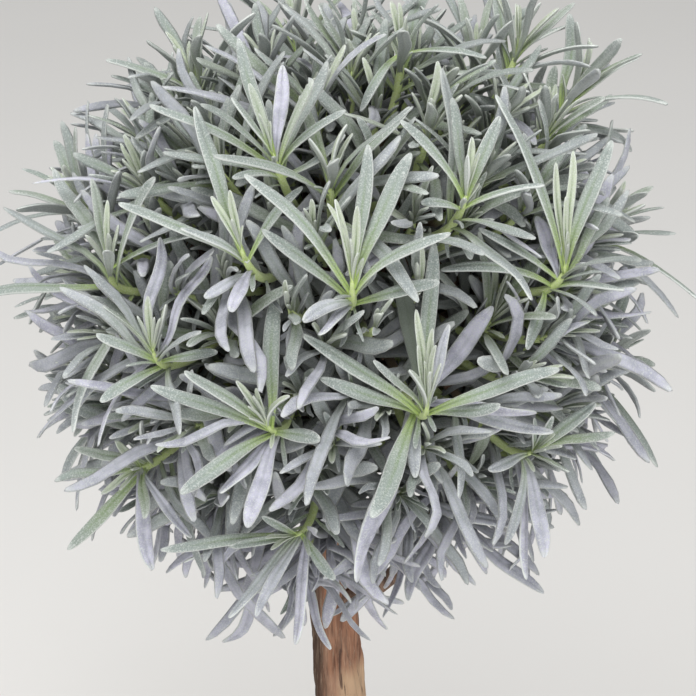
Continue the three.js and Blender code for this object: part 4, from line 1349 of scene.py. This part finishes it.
# Crumbs lie half sunk all over the soil's top, clear of the trunk, each squashed and turned at random.
# Their sizes are half extents in metres, and their counts are to the square metre.
TRUNK_ROOM = 0.013
LEVEL_ENOUGH = 0.7
CRUMB_TURNS = (0.6, 0.6, 2 * math.pi)
CRUMBS = dict(Count=60000.0, Smallest=(6e-4, 8e-4, 4e-4), Largest=(2.2e-3, 3.2e-3, 1.4e-3), Seed=4)
GRAINS = dict(Count=5000.0, Smallest=(8e-4, 8e-4, 6e-4), Largest=(1.8e-3, 2e-3, 1.4e-3), Seed=11)
bark_crumbs = crumb_paint("bark_crumbs", (58, 41, 31), (122, 88, 62))
perlite = crumb_paint("perlite", (196, 192, 184), (232, 230, 224))
crumbs = Grower("crumbs", **CRUMBS, Paint=bark_crumbs)
level = crumbs.node("ShaderNodeSeparateXYZ", {}, crumbs.node("GeometryNodeInputNormal", {}), output="Z")
outward = crumbs.vector("MULTIPLY", crumbs.node("GeometryNodeInputPosition", {}), (1, 1, 0))
clear_of_trunk = crumbs.vector("LENGTH", outward, output="Value").math("GREATER_THAN", TRUNK_ROOM)
spots = crumbs.node(
    "GeometryNodeDistributePointsOnFaces",
    {},
    crumbs.value("Bed"),
    level.math("GREATER_THAN", LEVEL_ENOUGH) * clear_of_trunk,
    Density=crumbs.value("Count"),
    Seed=crumbs.value("Seed"),
)
vectors = {"data_type": "FLOAT_VECTOR"}
smallest, largest = crumbs.value("Smallest"), crumbs.value("Largest")
sizes = crumbs.node("FunctionNodeRandomValue", vectors, smallest, largest)
turns = crumbs.node("FunctionNodeRandomValue", vectors, (0, 0, 0), CRUMB_TURNS, Seed=9)
crumb = crumbs.node("GeometryNodeMeshIcoSphere", {}, 1.0, 1)
turned_to = crumbs.node("FunctionNodeEulerToRotation", {}, turns)
strewn = dict(Instance=crumb, Rotation=turned_to, Scale=sizes)
crumbs.finish(crumbs.node("GeometryNodeInstanceOnPoints", {}, spots, **strewn))
chips = crumbs.grow("soil_crumbs", soil)
grains = crumbs.grow("perlite_grains", soil, **GRAINS, Paint=perlite)
for piece in (chips, grains):
    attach(piece, "root")


# Soft daylight from a large source above and to the left and a weaker one in front, and a plain pale
# floor. Places and sizes here are in metres.
LIT_POINT = Vector((0, 0, 0.3))
FLOOR_REACH = 9000


def light(name, place, size, power, colour=(1, 1, 1)):
    lamp = add_object(name, bpy.data.lights.new(name, "AREA"))
    lamp.data.energy, lamp.data.size, lamp.data.color = power, size, colour
    lamp.location = place
    lamp.rotation_euler = (LIT_POINT - Vector(place)).to_track_quat("-Z", "Y").to_euler()


light("sky_light", (-0.3, -0.42, 1.9), 1.5, 30.5)
light("front_light", (0.5, -1.7, 0.55), 1.2, 13, (0.97, 0.98, 1.0))
world = bpy.data.worlds.new("daylight")
bpy.context.scene.world = world
world.use_nodes = True
background = world.node_tree.nodes["Background"]
background.inputs["Color"].default_value = (0.93, 0.94, 0.95, 1)
background.inputs["Strength"].default_value = 0.49
floor_paint = Paint("floor_paint")
mottle = floor_paint.noise(3, 3)
floor_material = floor_paint.finish(
    floor_paint.mix(mottle, (222, 220, 216), (228, 226, 223)), 0.9 + 0.05 * mottle, mottle, 0.01
)
corners = [(FLOOR_REACH * x, FLOOR_REACH * y, 0) for x, y in ((-1, -1), (1, -1), (1, 1), (-1, 1))]
floor = make_object("floor", corners, [(0, 1, 2, 3)], floor_material)
bpy.context.scene.view_settings.view_transform = "Standard"
